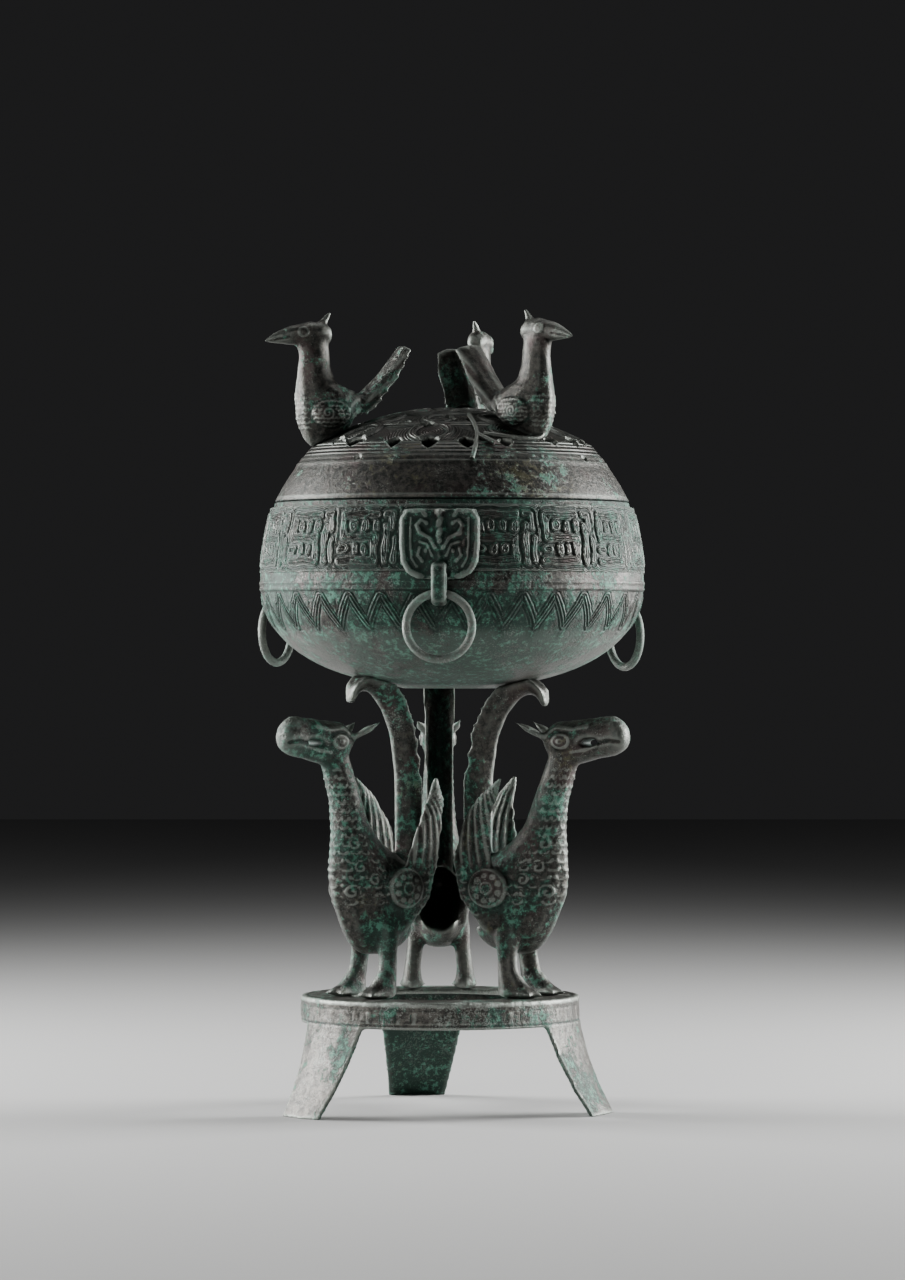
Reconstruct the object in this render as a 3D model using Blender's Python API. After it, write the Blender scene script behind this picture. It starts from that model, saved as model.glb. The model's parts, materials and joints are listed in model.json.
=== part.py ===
# Bronze dou vessel: a lidded round bowl on three winged beasts and a ring base with three legs.
# Lengths are in metres. While it is modelled, the ground is z = 0 and the stand's axis is x = y = 0.

import math

import bmesh
import bpy
from mathutils import Matrix
from mathutils import Vector

MM = 0.001

# Fit between pieces, and the smallest edge a union may leave
solder_gap = 0.3 * MM
lid_side_play = 0.6 * MM
sliver = 0.01 * MM

# Share of a cast figure's faces that is kept
beast_faces_kept = 0.5
bird_faces_kept = 0.5

# Ring base and its three legs
base_radius = 62.8 * MM
base_top_height = 51.8 * MM
base_band_height = 12.3 * MM
base_wall = 2.6 * MM
base_columns = 36
base_hole_radius = 40.0 * MM
leg_bearings = (98.0, 218.0, 338.0)
leg_foot_radius = 80.5 * MM
leg_thickness = 2.6 * MM
leg_top_width = 47.0 * MM
leg_foot_width = 27.0 * MM
leg_splay_curve = 1.8
leg_width_curve = 0.8

# Bowl
bowl_shift = 5.4 * MM
bowl_underside_height = 189.4 * MM
bowl_radius = 86.2 * MM
bowl_height = 83.3 * MM
belly_height = 49.0 * MM
belly_fullness = 2.3
mouth_flare = 5.6 * MM
mouth_flare_curve = 1.7
underside_flat_radius = 22.0 * MM
bowl_wall = 2.8 * MM
lip_height = 3.4 * MM
lip_step = 0.9 * MM
frieze_height = 27.0 * MM
frieze_relief = 0.9 * MM
dragon_count = 17
inner_columns = 26
underside_row_shares = (0.62, 0.82)
inner_row_shares = (0.5, 0.75, 0.9)
frieze_to_ridge = 5.0 * MM
ridge_height = 4.4 * MM
ridge_relief = 0.7 * MM
ridge_to_pendant = 3.2 * MM
pendant_height = 12.2 * MM
pendant_relief = 0.8 * MM

# Lid
lid_wall = 2.4 * MM
lid_edge_inset = 1.0 * MM
lid_field_radius = 62.8 * MM
lid_band_rise = 25.2 * MM
lid_dome_rise = 17.1 * MM
lid_dome_curve = 1.9
lid_band_bulge = 0.3
lid_border_step = 0.7 * MM
lid_border_height = 16.5 * MM
lid_collar_depth = 4.0 * MM
lid_collar_wall = 2.0 * MM
lid_columns = 40
lid_field_shares = (0.82, 0.6, 0.32)
lid_inner_share = 0.6
opening_length = 9.0 * MM
opening_width = 5.0 * MM
outer_openings = 18
outer_opening_radius = 57.0 * MM
inner_openings = 9
inner_opening_radius = 36.0 * MM
opening_length_inner = 7.5 * MM
bird_clear_angle = 17.0

# An opening's eye shape: places across and along it, in shares of its width and length
eye_shape = ((0.0, 0.5), (0.42, 0.22), (0.42, -0.22), (0.0, -0.5), (-0.42, -0.22), (-0.42, 0.22))

# Birds on the lid
bird_height = 60.5 * MM
bird_radius = 52.0 * MM
bird_ring_shift = -4.0 * MM
bird_foot_height = 25.6 * MM
bird_tail_wall = 1.9 * MM
bird_headings = {"bird_left": 194.0, "bird_right": 314.0, "bird_back": 74.0}

# Mask lugs and drop rings
mask_height = 31.0 * MM
mask_half_width = 17.5 * MM
mask_plate = 1.6 * MM
mask_horn_place = (0.68, 0.3)
mask_horn_spread = (0.2, 0.24)
mask_nose_spread = 0.17
mask_nose_swell = (0.35, 0.65)
mask_brow_place = 0.5
mask_brow_spread = 0.12
mask_horn_rise, mask_nose_rise, mask_brow_rise = 0.9, 1.5, 0.25
mask_eye_place = (17.0, 0.56)
mask_eye_radii = (5.0, 6.0, 5.0)
mask_top_drop = 4.4 * MM
mask_places = {"front": (266.4, 0.0), "left": (153.5, 2.0 * MM), "right": (28.0, 4.0 * MM)}
ring_radius = 14.4 * MM
ring_segments = 16
ring_wire = 4.0 * MM
ring_play = 1.1 * MM
ring_wall_gap = 1.3 * MM
strap_width = 7.6 * MM
strap_thickness = 2.2 * MM
strap_rise = 17.5 * MM
strap_neck_inset = 1.0 * MM
strap_shoulder_drop = 1.6 * MM
strap_front_drop = 5.0 * MM
strap_front_rise = 0.6 * MM
strap_section = ((0.5, -0.34), (0.5, 0.34), (-0.5, 0.5), (-0.5, -0.5))
ring_pivot_drop = 37.0 * MM

# Wall of a beast's tail where it rises as a column, and the angles of such a channel's section
beast_column_wall = 2.3 * MM
channel_outer_angles = (-90.0, -50.0, 0.0, 50.0, 90.0)
channel_inner_angles = (72.0, 0.0, -72.0)

# How far a column's crest goes up past the bowl's underside before it is trimmed to it
beast_column_bite = 2.2 * MM

# Beasts: heading, stretch along the heading, and how far each wing tip sweeps forward, left then right
beast_poses = {
    "beast_left": (215.0, 1.0, (-9.0, 4.0)),
    "beast_right": (334.5, 1.07, (-1.0, 6.0)),
    "beast_back": (91.0, 1.03, (0.0, 0.0)),
}

# Bronze colours: red, green, blue, roughness
bowl_bronze = (0.075, 0.085, 0.078, 0.55)
lid_bronze = (0.085, 0.085, 0.075, 0.55)
beast_bronze = (0.105, 0.125, 0.105, 0.6)
bird_bronze = (0.08, 0.095, 0.088, 0.55)
ring_bronze = (0.12, 0.2, 0.165, 0.6)
base_bronze = (0.11, 0.105, 0.09, 0.6)

round_edge_angle = math.radians(35.0)
up = Vector((0.0, 0.0, 1.0))
forward = Vector((1.0, 0.0, 0.0))
sideways = Vector((0.0, 1.0, 0.0))


# General helpers


def clear_scene():
    for obj in list(bpy.data.objects):
        bpy.data.objects.remove(obj, do_unlink=True)


def bronze(name, look):
    material = bpy.data.materials.new(name)
    material.use_nodes = True
    shader = material.node_tree.nodes["Principled BSDF"]
    shader.inputs["Base Color"].default_value = (look[0], look[1], look[2], 1.0)
    shader.inputs["Roughness"].default_value = look[3]
    shader.inputs["Metallic"].default_value = 0.85
    material.diffuse_color = (look[0], look[1], look[2], 1.0)
    return material


def add_object(name, mesh, parent=None):
    obj = bpy.data.objects.new(name, mesh)
    bpy.context.scene.collection.objects.link(obj)
    obj.parent = parent
    return obj


def add_guide(name, mesh, parent=None):
    obj = add_object(name, mesh, parent)
    obj.hide_render = True
    obj.display_type = "WIRE"
    return obj


def finish(obj, material):
    obj.data.materials.clear()
    obj.data.materials.append(material)
    obj.data.shade_smooth()
    obj.data.set_sharp_from_angle(angle=round_edge_angle)


def skin(rings, closed_path=False):
    """A closed mesh through rings of points. A ring may have a half or a third of its neighbour's points,
    a ring of one point is a pole, and open ends get a cap."""
    bm = bmesh.new()
    rows = [[bm.verts.new(point) for point in ring] for ring in rings]
    pairs = list(zip(rows, rows[1:]))
    if closed_path:
        pairs.append((rows[-1], rows[0]))
    for low, high in pairs:
        count = max(len(low), len(high))
        for i in range(count):
            follow = (i + 1) % count
            corners = [low[i * len(low) // count], low[follow * len(low) // count]]
            corners += [high[follow * len(high) // count], high[i * len(high) // count]]
            bm.faces.new(list(dict.fromkeys(corners)))
    if not closed_path:
        for row in (rows[0], rows[-1]):
            if len(row) > 2:
                bm.faces.new(row)
    bmesh.ops.recalc_face_normals(bm, faces=bm.faces)
    mesh = bpy.data.meshes.new("shape")
    bm.to_mesh(mesh)
    bm.free()
    return mesh


def oval(centre, side_a, side_b, half_a, half_b, sides):
    points = []
    for i in range(sides):
        turn = 2.0 * math.pi * i / sides
        points.append(centre + side_a * (half_a * math.cos(turn)) + side_b * (half_b * math.sin(turn)))
    return points


def fuse(parts, cuts=()):
    """One closed mesh: all the parts united at once, then the cuts taken away."""
    base = add_object("fuse_base", parts[0])
    for operation, meshes in (("UNION", parts[1:]), ("DIFFERENCE", cuts)):
        if meshes:
            group = bpy.data.collections.new("fuse_group")
            bpy.context.scene.collection.children.link(group)
            for mesh in meshes:
                group.objects.link(bpy.data.objects.new("fuse_helper", mesh))
            modifier = base.modifiers.new("fuse", "BOOLEAN")
            modifier.operation = operation
            modifier.solver = "EXACT"
            modifier.operand_type = "COLLECTION"
            modifier.collection = group
    bpy.context.view_layer.update()
    graph = bpy.context.evaluated_depsgraph_get()
    mesh = bpy.data.meshes.new_from_object(base.evaluated_get(graph))
    bpy.data.objects.remove(base, do_unlink=True)
    for group in list(bpy.data.collections):
        for helper in list(group.objects):
            bpy.data.objects.remove(helper, do_unlink=True)
        bpy.data.collections.remove(group)
    return tidy_mesh(mesh)


def tidy_mesh(mesh):
    """Weld the slivers that a union leaves."""
    bm = bmesh.new()
    bm.from_mesh(mesh)
    bmesh.ops.remove_doubles(bm, verts=bm.verts, dist=sliver)
    bmesh.ops.dissolve_degenerate(bm, dist=sliver, edges=bm.edges)
    bm.to_mesh(mesh)
    bm.free()
    return mesh


def thin_out(obj, share):
    """Keep this share of the faces: a cast figure needs few where it is nearly flat."""
    modifier = obj.modifiers.new("thin_out", "DECIMATE")
    modifier.ratio = share


def cut_by(obj, cutter):
    modifier = obj.modifiers.new("seat", "BOOLEAN")
    modifier.operation = "DIFFERENCE"
    modifier.solver = "EXACT"
    modifier.object = cutter


def turn_profile(profile, columns):
    """Rings of a solid turned about z from (radius, height) points."""
    rings = []
    for radius, height in profile:
        if radius == 0.0:
            rings.append([Vector((0.0, 0.0, height))])
            continue
        ring = []
        for column in range(columns):
            turn = 2.0 * math.pi * column / columns
            ring.append(Vector((radius * math.cos(turn), radius * math.sin(turn), height)))
        rings.append(ring)
    return rings


# Bowl


def bowl_outer_radius(height):
    """Outer radius of the plain bowl at a height above its underside."""
    if height < belly_height:
        sink = 1.0 - height / belly_height
        return bowl_radius * (1.0 - sink ** belly_fullness) ** (1.0 / belly_fullness)
    rise = (height - belly_height) / (bowl_height - belly_height)
    return bowl_radius - mouth_flare * rise ** mouth_flare_curve


def height_at_radius(radius):
    """Height of the lower bowl's outer surface above the underside, where it has this radius."""
    share = radius / bowl_radius
    return belly_height * (1.0 - (1.0 - share ** belly_fullness) ** (1.0 / belly_fullness))


frieze_top = bowl_height - lip_height
frieze_bottom = frieze_top - frieze_height
ridge_top = frieze_bottom - frieze_to_ridge
ridge_bottom = ridge_top - ridge_height
pendant_top = ridge_bottom - ridge_to_pendant
pendant_tip = pendant_top - pendant_height

# One squared dragon of the frieze, its raised bars drawn row by row from the top
dragon_rows = ("111.", "1...", "111.", "..1.", "111.")


def bowl_rows():
    """Heights of the bowl's outer rows with a name for each, from the underside to the rim."""
    rows = [(0.0, "under")]
    for share in underside_row_shares:
        rows.append((height_at_radius(bowl_radius * share), "under"))
    rows.append((pendant_tip, "tip"))
    rows.append((pendant_top, "pendant"))
    rows.append((ridge_bottom, "plain"))
    rows.append(((ridge_bottom + ridge_top) / 2.0, "ridge"))
    rows.append((ridge_top, "plain"))
    for step in range(len(dragon_rows) + 1):
        rows.append((frieze_bottom + frieze_height * step / len(dragon_rows), "plain"))
    rows.append((bowl_height, "lip"))
    return rows


def bowl_rings(grow, with_relief):
    """The bowl's outer rings, grown outward. The rings of the underside have half the columns."""
    columns = len(dragon_rows[0]) * dragon_count
    rings = []
    for height, kind in bowl_rows():
        radius = bowl_outer_radius(height) if height > 0.0 else underside_flat_radius
        ring = []
        count = columns // 2 if kind == "under" else columns
        for column in range(count):
            turn = 2.0 * math.pi * column / count
            reach = radius + grow + (bowl_relief_at(kind, column) if with_relief else 0.0)
            ring.append(Vector((reach * math.cos(turn), reach * math.sin(turn), height)))
        rings.append(ring)
    return rings


def raise_dragons(mesh):
    """Push the frieze's cells that belong to a dragon outward, with upright sides."""
    bm = bmesh.new()
    bm.from_mesh(mesh)
    columns = len(dragon_rows[0]) * dragon_count
    raised = []
    for face in bm.faces:
        centre = face.calc_center_median()
        row = (frieze_top - centre.z) / frieze_height * len(dragon_rows)
        if 0.0 < row < len(dragon_rows) and centre.xy.length > bowl_radius / 2.0:
            column = int(math.atan2(centre.y, centre.x) / (2.0 * math.pi) * columns % columns)
            bars = dragon_rows[int(row)]
            if bars[column % len(bars)] == "1":
                raised.append(face)
    grown = bmesh.ops.extrude_face_region(bm, geom=raised)
    for item in grown["geom"]:
        if isinstance(item, bmesh.types.BMVert):
            out = Vector((item.co.x, item.co.y, 0.0)).normalized()
            item.co += out * frieze_relief
    bmesh.ops.delete(bm, geom=raised, context="FACES")
    bm.to_mesh(mesh)
    bm.free()
    return mesh


def bowl_relief_at(kind, column):
    if kind == "tip":
        return pendant_relief if column % 2 == 0 else 0.0
    if kind == "pendant":
        return pendant_relief
    if kind == "ridge":
        return ridge_relief
    if kind == "lip":
        return -lip_step
    return 0.0


def make_bowl(parent, material):
    inner = [(0.0, bowl_wall)]
    for share in inner_row_shares:
        inner.append(((bowl_radius - bowl_wall) * share, height_at_radius(bowl_radius * share) + bowl_wall))
    inner.append((bowl_radius - bowl_wall, belly_height + bowl_wall * 0.4))
    mouth = bowl_outer_radius(bowl_height) - lip_step - bowl_wall
    inner.append((mouth, bowl_height - lid_collar_depth - bowl_wall))
    inner.append((mouth, bowl_height + bowl_wall))
    hollow = skin(turn_profile(inner, inner_columns))
    outer = raise_dragons(skin(bowl_rings(0.0, True)))
    bowl = add_object("bowl", fuse([outer], [hollow]), parent)
    finish(bowl, material)
    return mouth


def bowl_seat_cutter(name, relief, parent):
    """The bowl's outside grown by the relief there and the solder gap, to trim what is fixed to it."""
    rings = bowl_rings(relief + solder_gap, False)
    for ring in rings:
        for point in ring:
            point.z -= solder_gap
    return add_guide(name, skin(rings), parent)


# Lid


def lid_height_at(radius):
    """Height of the domed field above the lid's lower edge."""
    return lid_band_rise + lid_dome_rise * (1.0 - (radius / lid_field_radius) ** lid_dome_curve)


def lid_profile(grow):
    """Outer profile from the lower edge to the top, grown outward by a gap."""
    edge_radius = bowl_outer_radius(bowl_height) - lid_edge_inset
    spread = edge_radius - lid_field_radius

    def band(rise):
        left = 1.0 - rise / lid_band_rise
        return lid_field_radius + spread * (left + lid_band_bulge * left * (1.0 - left))

    profile = [(edge_radius + grow, 0.0)]
    profile.append((band(lid_border_height * 0.5) + grow, lid_border_height * 0.5))
    profile.append((band(lid_border_height) + grow, lid_border_height))
    profile.append((band(lid_border_height) - lid_border_step + grow, lid_border_height + lid_border_step))
    profile.append((lid_field_radius + grow, lid_band_rise + grow))
    for share in lid_field_shares:
        radius = lid_field_radius * share
        profile.append((radius + grow * 0.5, lid_height_at(radius) + grow))
    profile.append((0.0, lid_band_rise + lid_dome_rise + grow))
    return profile


def lens_prism(length, width, radius, bearing):
    """An upright prism of eye-shaped plan, long along the tangent, to cut an opening."""
    turn = Matrix.Rotation(math.radians(bearing), 4, "Z")
    rings = []
    for height in (lid_band_rise - lid_wall * 2.5, lid_band_rise + lid_dome_rise + lid_wall):
        ring = []
        for across, along in eye_shape:
            ring.append(turn @ Vector((radius + across * width, along * length, height)))
        rings.append(ring)
    return skin(rings)


def near_a_bird(bearing):
    gaps = []
    for heading in bird_headings.values():
        gaps.append(abs((bearing - heading + 180.0) % 360.0 - 180.0))
    return min(gaps) < bird_clear_angle


def make_lid(parent, material, mouth):
    outer = skin(turn_profile(lid_profile(0.0), lid_columns))
    collar_radius = mouth - lid_side_play
    collar = [(collar_radius, -lid_collar_depth), (collar_radius, lid_wall)]
    edge_to_field = [(radius - lid_wall, height) for radius, height in lid_profile(0.0)[1:3]]
    hollow = [(collar_radius - lid_collar_wall, -lid_collar_depth - lid_wall)]
    hollow.append((collar_radius - lid_collar_wall, lid_wall))
    hollow += edge_to_field
    hollow.append((lid_field_radius - lid_wall, lid_band_rise - lid_wall))
    inner_radius = lid_field_radius * lid_inner_share
    hollow.append((inner_radius, lid_height_at(inner_radius) - lid_wall))
    hollow.append((0.0, lid_band_rise + lid_dome_rise - lid_wall))
    cuts = [skin(turn_profile(hollow, lid_columns // 2))]
    rows = ((outer_openings, outer_opening_radius, opening_length),
            (inner_openings, inner_opening_radius, opening_length_inner))
    for count, radius, length in rows:
        for i in range(count):
            bearing = 360.0 * (i + 0.5) / count
            if not near_a_bird(bearing):
                cuts.append(lens_prism(length, opening_width, radius, bearing))
    lid = add_object("lid", fuse([outer, skin(turn_profile(collar, lid_columns))], cuts), parent)
    finish(lid, material)


def lid_seat_cutter(parent):
    return add_guide("lid_seat_cutter", skin(turn_profile(lid_profile(solder_gap), lid_columns)), parent)


# Channel-shaped tails and columns


def channel_ring(centre, outward, half_width, depth, wall, hollow):
    """A C-shaped section. It bulges along outward, and hollow from 0 to 1 says how deep its groove is."""
    edge = centre - outward * (depth / 2.0)
    ring = []
    for angle in channel_outer_angles:
        turn = math.radians(angle)
        ring.append(edge + outward * (depth * math.cos(turn)) + sideways * (half_width * math.sin(turn)))
    groove = (depth - wall) * hollow
    for angle in channel_inner_angles:
        turn = math.radians(angle)
        inner = (half_width - wall) * math.sin(turn)
        ring.append(edge + outward * (groove * math.cos(turn)) + sideways * inner)
    return ring


def channel(stations, unit, wall):
    """A channel along (forward, height, half width, depth, hollow) stations, in shares of the figure."""
    centres = [Vector((s[0] * unit, 0.0, s[1] * unit)) for s in stations]
    rings = []
    for i, station in enumerate(stations):
        run = (centres[min(i + 1, len(centres) - 1)] - centres[max(i - 1, 0)]).normalized()
        outward = Vector((run.z, 0.0, -run.x))
        half_width, depth, hollow = station[2] * unit, station[3] * unit, station[4]
        rings.append(channel_ring(centres[i], outward, half_width, depth, wall, hollow))
    return skin(rings)


def level_rings(stations, unit, sides):
    """Level oval rings from (height, back, front, half width) stations."""
    rings = []
    for height, back, front, half_width in stations:
        centre = Vector(((back + front) / 2.0, 0.0, height)) * unit
        rings.append(oval(centre, forward, sideways, (front - back) / 2.0 * unit, half_width * unit, sides))
    return rings


def upright_rings(stations, unit, sides):
    """Upright oval rings across the heading from (forward, height, half height, half width) stations."""
    rings = []
    for ahead, height, half_height, half_width in stations:
        centre = Vector((ahead, 0.0, height)) * unit
        rings.append(oval(centre, sideways, up, half_width * unit, half_height * unit, sides))
    return rings


def taper(points, widths, unit, sides, flat=1.0):
    """A limb through points, with a half width at each, flattened in height by flat."""
    centres = [Vector(point) * unit for point in points]
    rings = []
    for i, centre in enumerate(centres):
        run = (centres[min(i + 1, len(centres) - 1)] - centres[max(i - 1, 0)]).normalized()
        across = up.cross(run)
        if across.length < 0.1:
            across = sideways.copy()
        across.normalize()
        rise = run.cross(across)
        rings.append(oval(centre, across, rise, widths[i] * unit, widths[i] * flat * unit, sides))
    return skin(rings)


def ball(centre, radii, unit, detail=1):
    bm = bmesh.new()
    bmesh.ops.create_icosphere(bm, subdivisions=detail, radius=1.0)
    for vert in bm.verts:
        vert.co = Vector((vert.co.x * radii[0], vert.co.y * radii[1], vert.co.z * radii[2])) * unit
        vert.co += Vector(centre) * unit
    mesh = bpy.data.meshes.new("ball")
    bm.to_mesh(mesh)
    bm.free()
    return mesh


# Beasts. Their stations are hundredths of a beast's height: forward, height and widths.

beast_height = bowl_underside_height - base_top_height

beast_body = (
    (14.0, 21.5, 31.0, 3.5), (17.0, 15.5, 35.0, 6.6), (21.0, 11.8, 37.6, 8.4), (26.3, 10.3, 40.0, 9.4),
    (33.0, 9.8, 42.6, 9.8), (40.0, 11.2, 43.3, 9.4), (44.5, 15.5, 42.8, 8.4), (50.0, 24.0, 42.3, 7.0),
    (56.0, 28.8, 42.1, 6.0), (64.0, 31.6, 42.9, 5.4), (72.0, 34.6, 45.0, 5.2), (78.5, 36.4, 47.0, 4.6))
beast_head = (
    (35.4, 83.4, 2.8, 3.0), (38.5, 83.0, 6.2, 5.0), (43.5, 82.4, 7.6, 6.1), (48.5, 83.0, 7.5, 5.5),
    (53.5, 84.2, 7.0, 4.5), (58.5, 85.0, 6.9, 4.9), (61.5, 84.6, 4.8, 4.2), (62.8, 84.3, 2.4, 2.4))
beast_column = (
    (14.0, 37.5, 4.8, 8.6, 1.0), (13.7, 47.0, 4.8, 8.6, 1.0), (13.7, 60.0, 4.7, 8.6, 1.0),
    (14.2, 73.0, 4.9, 8.6, 1.0), (16.0, 83.5, 5.2, 8.4, 1.0), (19.6, 91.2, 5.5, 8.2, 0.8),
    (25.0, 96.8, 5.6, 7.8, 0.4), (30.4, 98.0, 5.0, 6.6, 0.3), (34.0, 95.6, 3.6, 4.0, 0.2),
    (35.2, 91.6, 2.2, 2.1, 0.1))
beast_column_lift_from = 60.0
beast_wing = (
    (21.0, 20.0, 2.0, 8.0), (27.8, 17.8, 5.0, 9.0), (34.0, 16.2, 7.0, 9.6), (41.0, 15.4, 7.2, 10.2),
    (50.0, 15.0, 6.5, 11.3), (58.5, 15.6, 5.0, 12.4), (65.5, 17.4, 3.2, 13.2), (71.3, 20.4, 0.9, 13.8))
beast_wing_half_thickness = 1.2
beast_wing_sweep_from = 34.0
beast_wing_sweep_over = 37.0
beast_leg = (
    (28.0, 26.0, 6.0, 3.8, 6.0), (21.0, 25.8, 5.2, 3.7, 7.0), (14.7, 26.0, 3.6, 3.0, 7.8),
    (9.0, 26.6, 3.5, 2.9, 8.5), (4.6, 28.4, 5.2, 3.3, 8.8), (1.6, 29.4, 6.3, 3.9, 8.8),
    (-1.0, 29.6, 6.5, 4.1, 8.8))
beast_hollow = (
    (3.0, 30.4, 11.0, 7.7), (12.0, 30.4, 11.0, 7.7), (20.0, 30.8, 10.4, 7.3), (28.0, 31.6, 9.0, 6.3),
    (34.0, 32.6, 6.6, 4.4), (38.0, 33.4, 2.2, 1.6))
beast_roundel_place = (20.9, 35.5)
beast_roundel = ((7.3, 6.2), (11.5, 6.7), (12.4, 5.0))
beast_eye = (42.4, 5.4, 83.0)
beast_eye_radii = (2.4, 1.6, 2.1)
beast_ear = ((36.6, 3.4, 84.2), (32.0, 5.8, 87.0), (27.6, 7.4, 89.6))
beast_ear_widths = (2.0, 2.4, 0.6)
beast_mouth_half_width = 9.0
beast_mouth = ((47.2, 81.6), (49.6, 83.9), (53.4, 83.8), (55.4, 82.8), (52.0, 81.4))
foot_place = (28.6, 8.8)
foot_outline = (
    (-30.0, 9.8), (-15.0, 7.4), (0.0, 10.8), (15.0, 7.4), (30.0, 9.8),
    (80.0, 4.2), (180.0, 5.2), (280.0, 4.2))
foot_levels = ((-1.0, 1.0), (1.6, 0.95), (3.4, 0.62))


def beast_wing_mesh(side, sweep, unit):
    rings = []
    for height, ahead, half_chord, out in beast_wing:
        lift = max(0.0, (height - beast_wing_sweep_from) / beast_wing_sweep_over)
        centre = Vector((ahead + sweep * lift ** 2, side * out, height)) * unit
        rings.append(oval(centre, forward, sideways, half_chord * unit, beast_wing_half_thickness * unit, 6))
    return skin(rings)


def beast_leg_parts(side, unit):
    """A leg and its flat, clawed foot of three spread toes and a spur."""
    rings = []
    for height, ahead, half_ahead, half_width, out in beast_leg:
        centre = Vector((ahead, side * out, height)) * unit
        rings.append(oval(centre, forward, sideways, half_ahead * unit, half_width * unit, 6))
    foot = []
    for height, size in foot_levels:
        ring = []
        for bearing, reach in foot_outline:
            turn = math.radians(bearing)
            ahead = foot_place[0] + math.cos(turn) * reach * size
            out = side * foot_place[1] + math.sin(turn) * reach * size
            ring.append(Vector((ahead, out, height)) * unit)
        foot.append(ring)
    return [skin(rings), skin(foot)]


def seated_column(heading, stretch, unit):
    """The column's stations, its upper part drawn up until the crest bites into the bowl's underside."""
    ahead, crest, half_width, depth, hollow = max(beast_column, key=lambda station: station[1])
    turn = math.radians(heading)
    reach = ahead * unit * stretch
    radius = math.hypot(reach * math.cos(turn) - bowl_shift, reach * math.sin(turn))
    seat = (beast_height + height_at_radius(radius) + beast_column_bite) / unit
    lift = seat - (crest + depth / 2.0)
    stations = []
    for station in beast_column:
        share = max(0.0, (station[1] - beast_column_lift_from) / (crest - beast_column_lift_from))
        stations.append((station[0], station[1] + lift * share) + station[2:])
    return stations


def beast_mesh(heading, stretch, sweeps):
    unit = beast_height / 100.0
    parts = [skin(level_rings(beast_body, unit, 10)), skin(upright_rings(beast_head, unit, 8))]
    parts.append(channel(seated_column(heading, stretch, unit), unit, beast_column_wall))
    for side, sweep in ((1.0, sweeps[0]), (-1.0, sweeps[1])):
        parts += beast_leg_parts(side, unit)
        parts.append(beast_wing_mesh(side, sweep, unit))
        roundel = []
        for out, size in beast_roundel:
            centre = Vector((beast_roundel_place[0], side * out, beast_roundel_place[1])) * unit
            roundel.append(oval(centre, forward, up, size * unit, size * unit, 10))
        parts.append(skin(roundel))
        ear = [(ahead, side * out, height) for ahead, out, height in beast_ear]
        parts.append(taper(ear, beast_ear_widths, unit, 5, 0.6))
        parts.append(ball((beast_eye[0], side * beast_eye[1], beast_eye[2]), beast_eye_radii, unit))
    cuts = [skin(upright_rings(beast_hollow, unit, 10))]
    for_mouth = []
    for out in (-beast_mouth_half_width, beast_mouth_half_width):
        for_mouth.append([Vector((x, out, z)) * unit for x, z in beast_mouth])
    cuts.append(skin(for_mouth))
    mesh = fuse(parts, cuts)
    mesh.transform(Matrix.Diagonal((stretch, 1.0, 1.0, 1.0)))
    return mesh


# Birds. Their stations are hundredths of a bird's height, from the bird's own origin.

bird_body = (
    (-2.0, 2.0, 14.0, 5.0), (4.0, -8.0, 20.5, 10.0), (14.0, -22.0, 25.0, 15.5), (24.3, -30.0, 27.0, 18.5),
    (32.6, -29.0, 27.6, 18.0), (39.2, -20.0, 27.2, 15.4), (46.0, -4.5, 26.0, 12.0), (56.0, -0.4, 24.6, 9.9),
    (67.0, 0.4, 24.0, 9.2), (77.0, 1.4, 27.0, 8.6))
bird_head = (
    (-0.5, 81.5, 5.6, 5.4), (6.6, 82.4, 9.1, 8.3), (16.5, 82.2, 9.3, 9.2), (26.4, 81.2, 8.0, 8.0),
    (34.7, 80.2, 6.6, 5.4), (43.0, 78.6, 4.2, 3.2), (50.1, 76.4, 1.2, 1.2))
bird_tail = (
    (-18.0, 26.0, 13.4, 17.0, 0.5), (-29.0, 35.0, 13.2, 16.0, 0.9), (-40.0, 47.5, 13.4, 14.2, 1.0),
    (-49.0, 61.0, 14.6, 12.2, 1.0), (-56.0, 73.0, 13.0, 8.4, 1.0))
bird_hollow = (
    (-44.0, 20.0, 13.0, 12.4), (-26.0, 20.0, 13.0, 12.6), (-8.0, 21.0, 12.4, 12.0), (6.0, 22.0, 9.6, 9.0),
    (13.0, 23.0, 3.4, 3.2))

bird_wing = ((11.0, 1.0), (17.2, 0.95), (19.6, 0.6))
bird_wing_place = (3.0, 23.0)
bird_wing_half = (13.5, 9.5)
bird_crest = ((9.0, 0.0, 86.0), (4.0, 0.0, 92.5), (0.0, 0.0, 98.6))
bird_crest_widths = (4.4, 3.4, 1.8)
bird_eye = (22.0, 8.2, 83.0)
bird_eye_radii = (2.4, 1.8, 2.4)


def bird_mesh():
    unit = bird_height / 100.0
    parts = [skin(level_rings(bird_body, unit, 10)), skin(upright_rings(bird_head, unit, 8))]
    parts.append(channel(bird_tail, unit, bird_tail_wall))
    parts.append(taper(bird_crest, bird_crest_widths, unit, 5))
    for side in (1.0, -1.0):
        wing = []
        for out, size in bird_wing:
            centre = Vector((bird_wing_place[0], side * out, bird_wing_place[1])) * unit
            half_length, half_height = (half * size * unit for half in bird_wing_half)
            wing.append(oval(centre, forward, up, half_length, half_height, 8))
        parts.append(skin(wing))
        parts.append(ball((bird_eye[0], side * bird_eye[1], bird_eye[2]), bird_eye_radii, unit))
    return fuse(parts, [skin(upright_rings(bird_hollow, unit, 10))])


# Mask lugs and rings, in a frame with its x axis pointing out from the bowl.
# The outline gives half widths down the mask, both in shares, and the columns go across it.

mask_outline = ((0.0, 0.9), (0.16, 1.0), (0.34, 1.0), (0.54, 0.99), (0.76, 0.95), (0.89, 0.82), (1.0, 0.5))
mask_columns = (-1.0, -0.68, -0.3, 0.0, 0.3, 0.68, 1.0)


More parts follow.
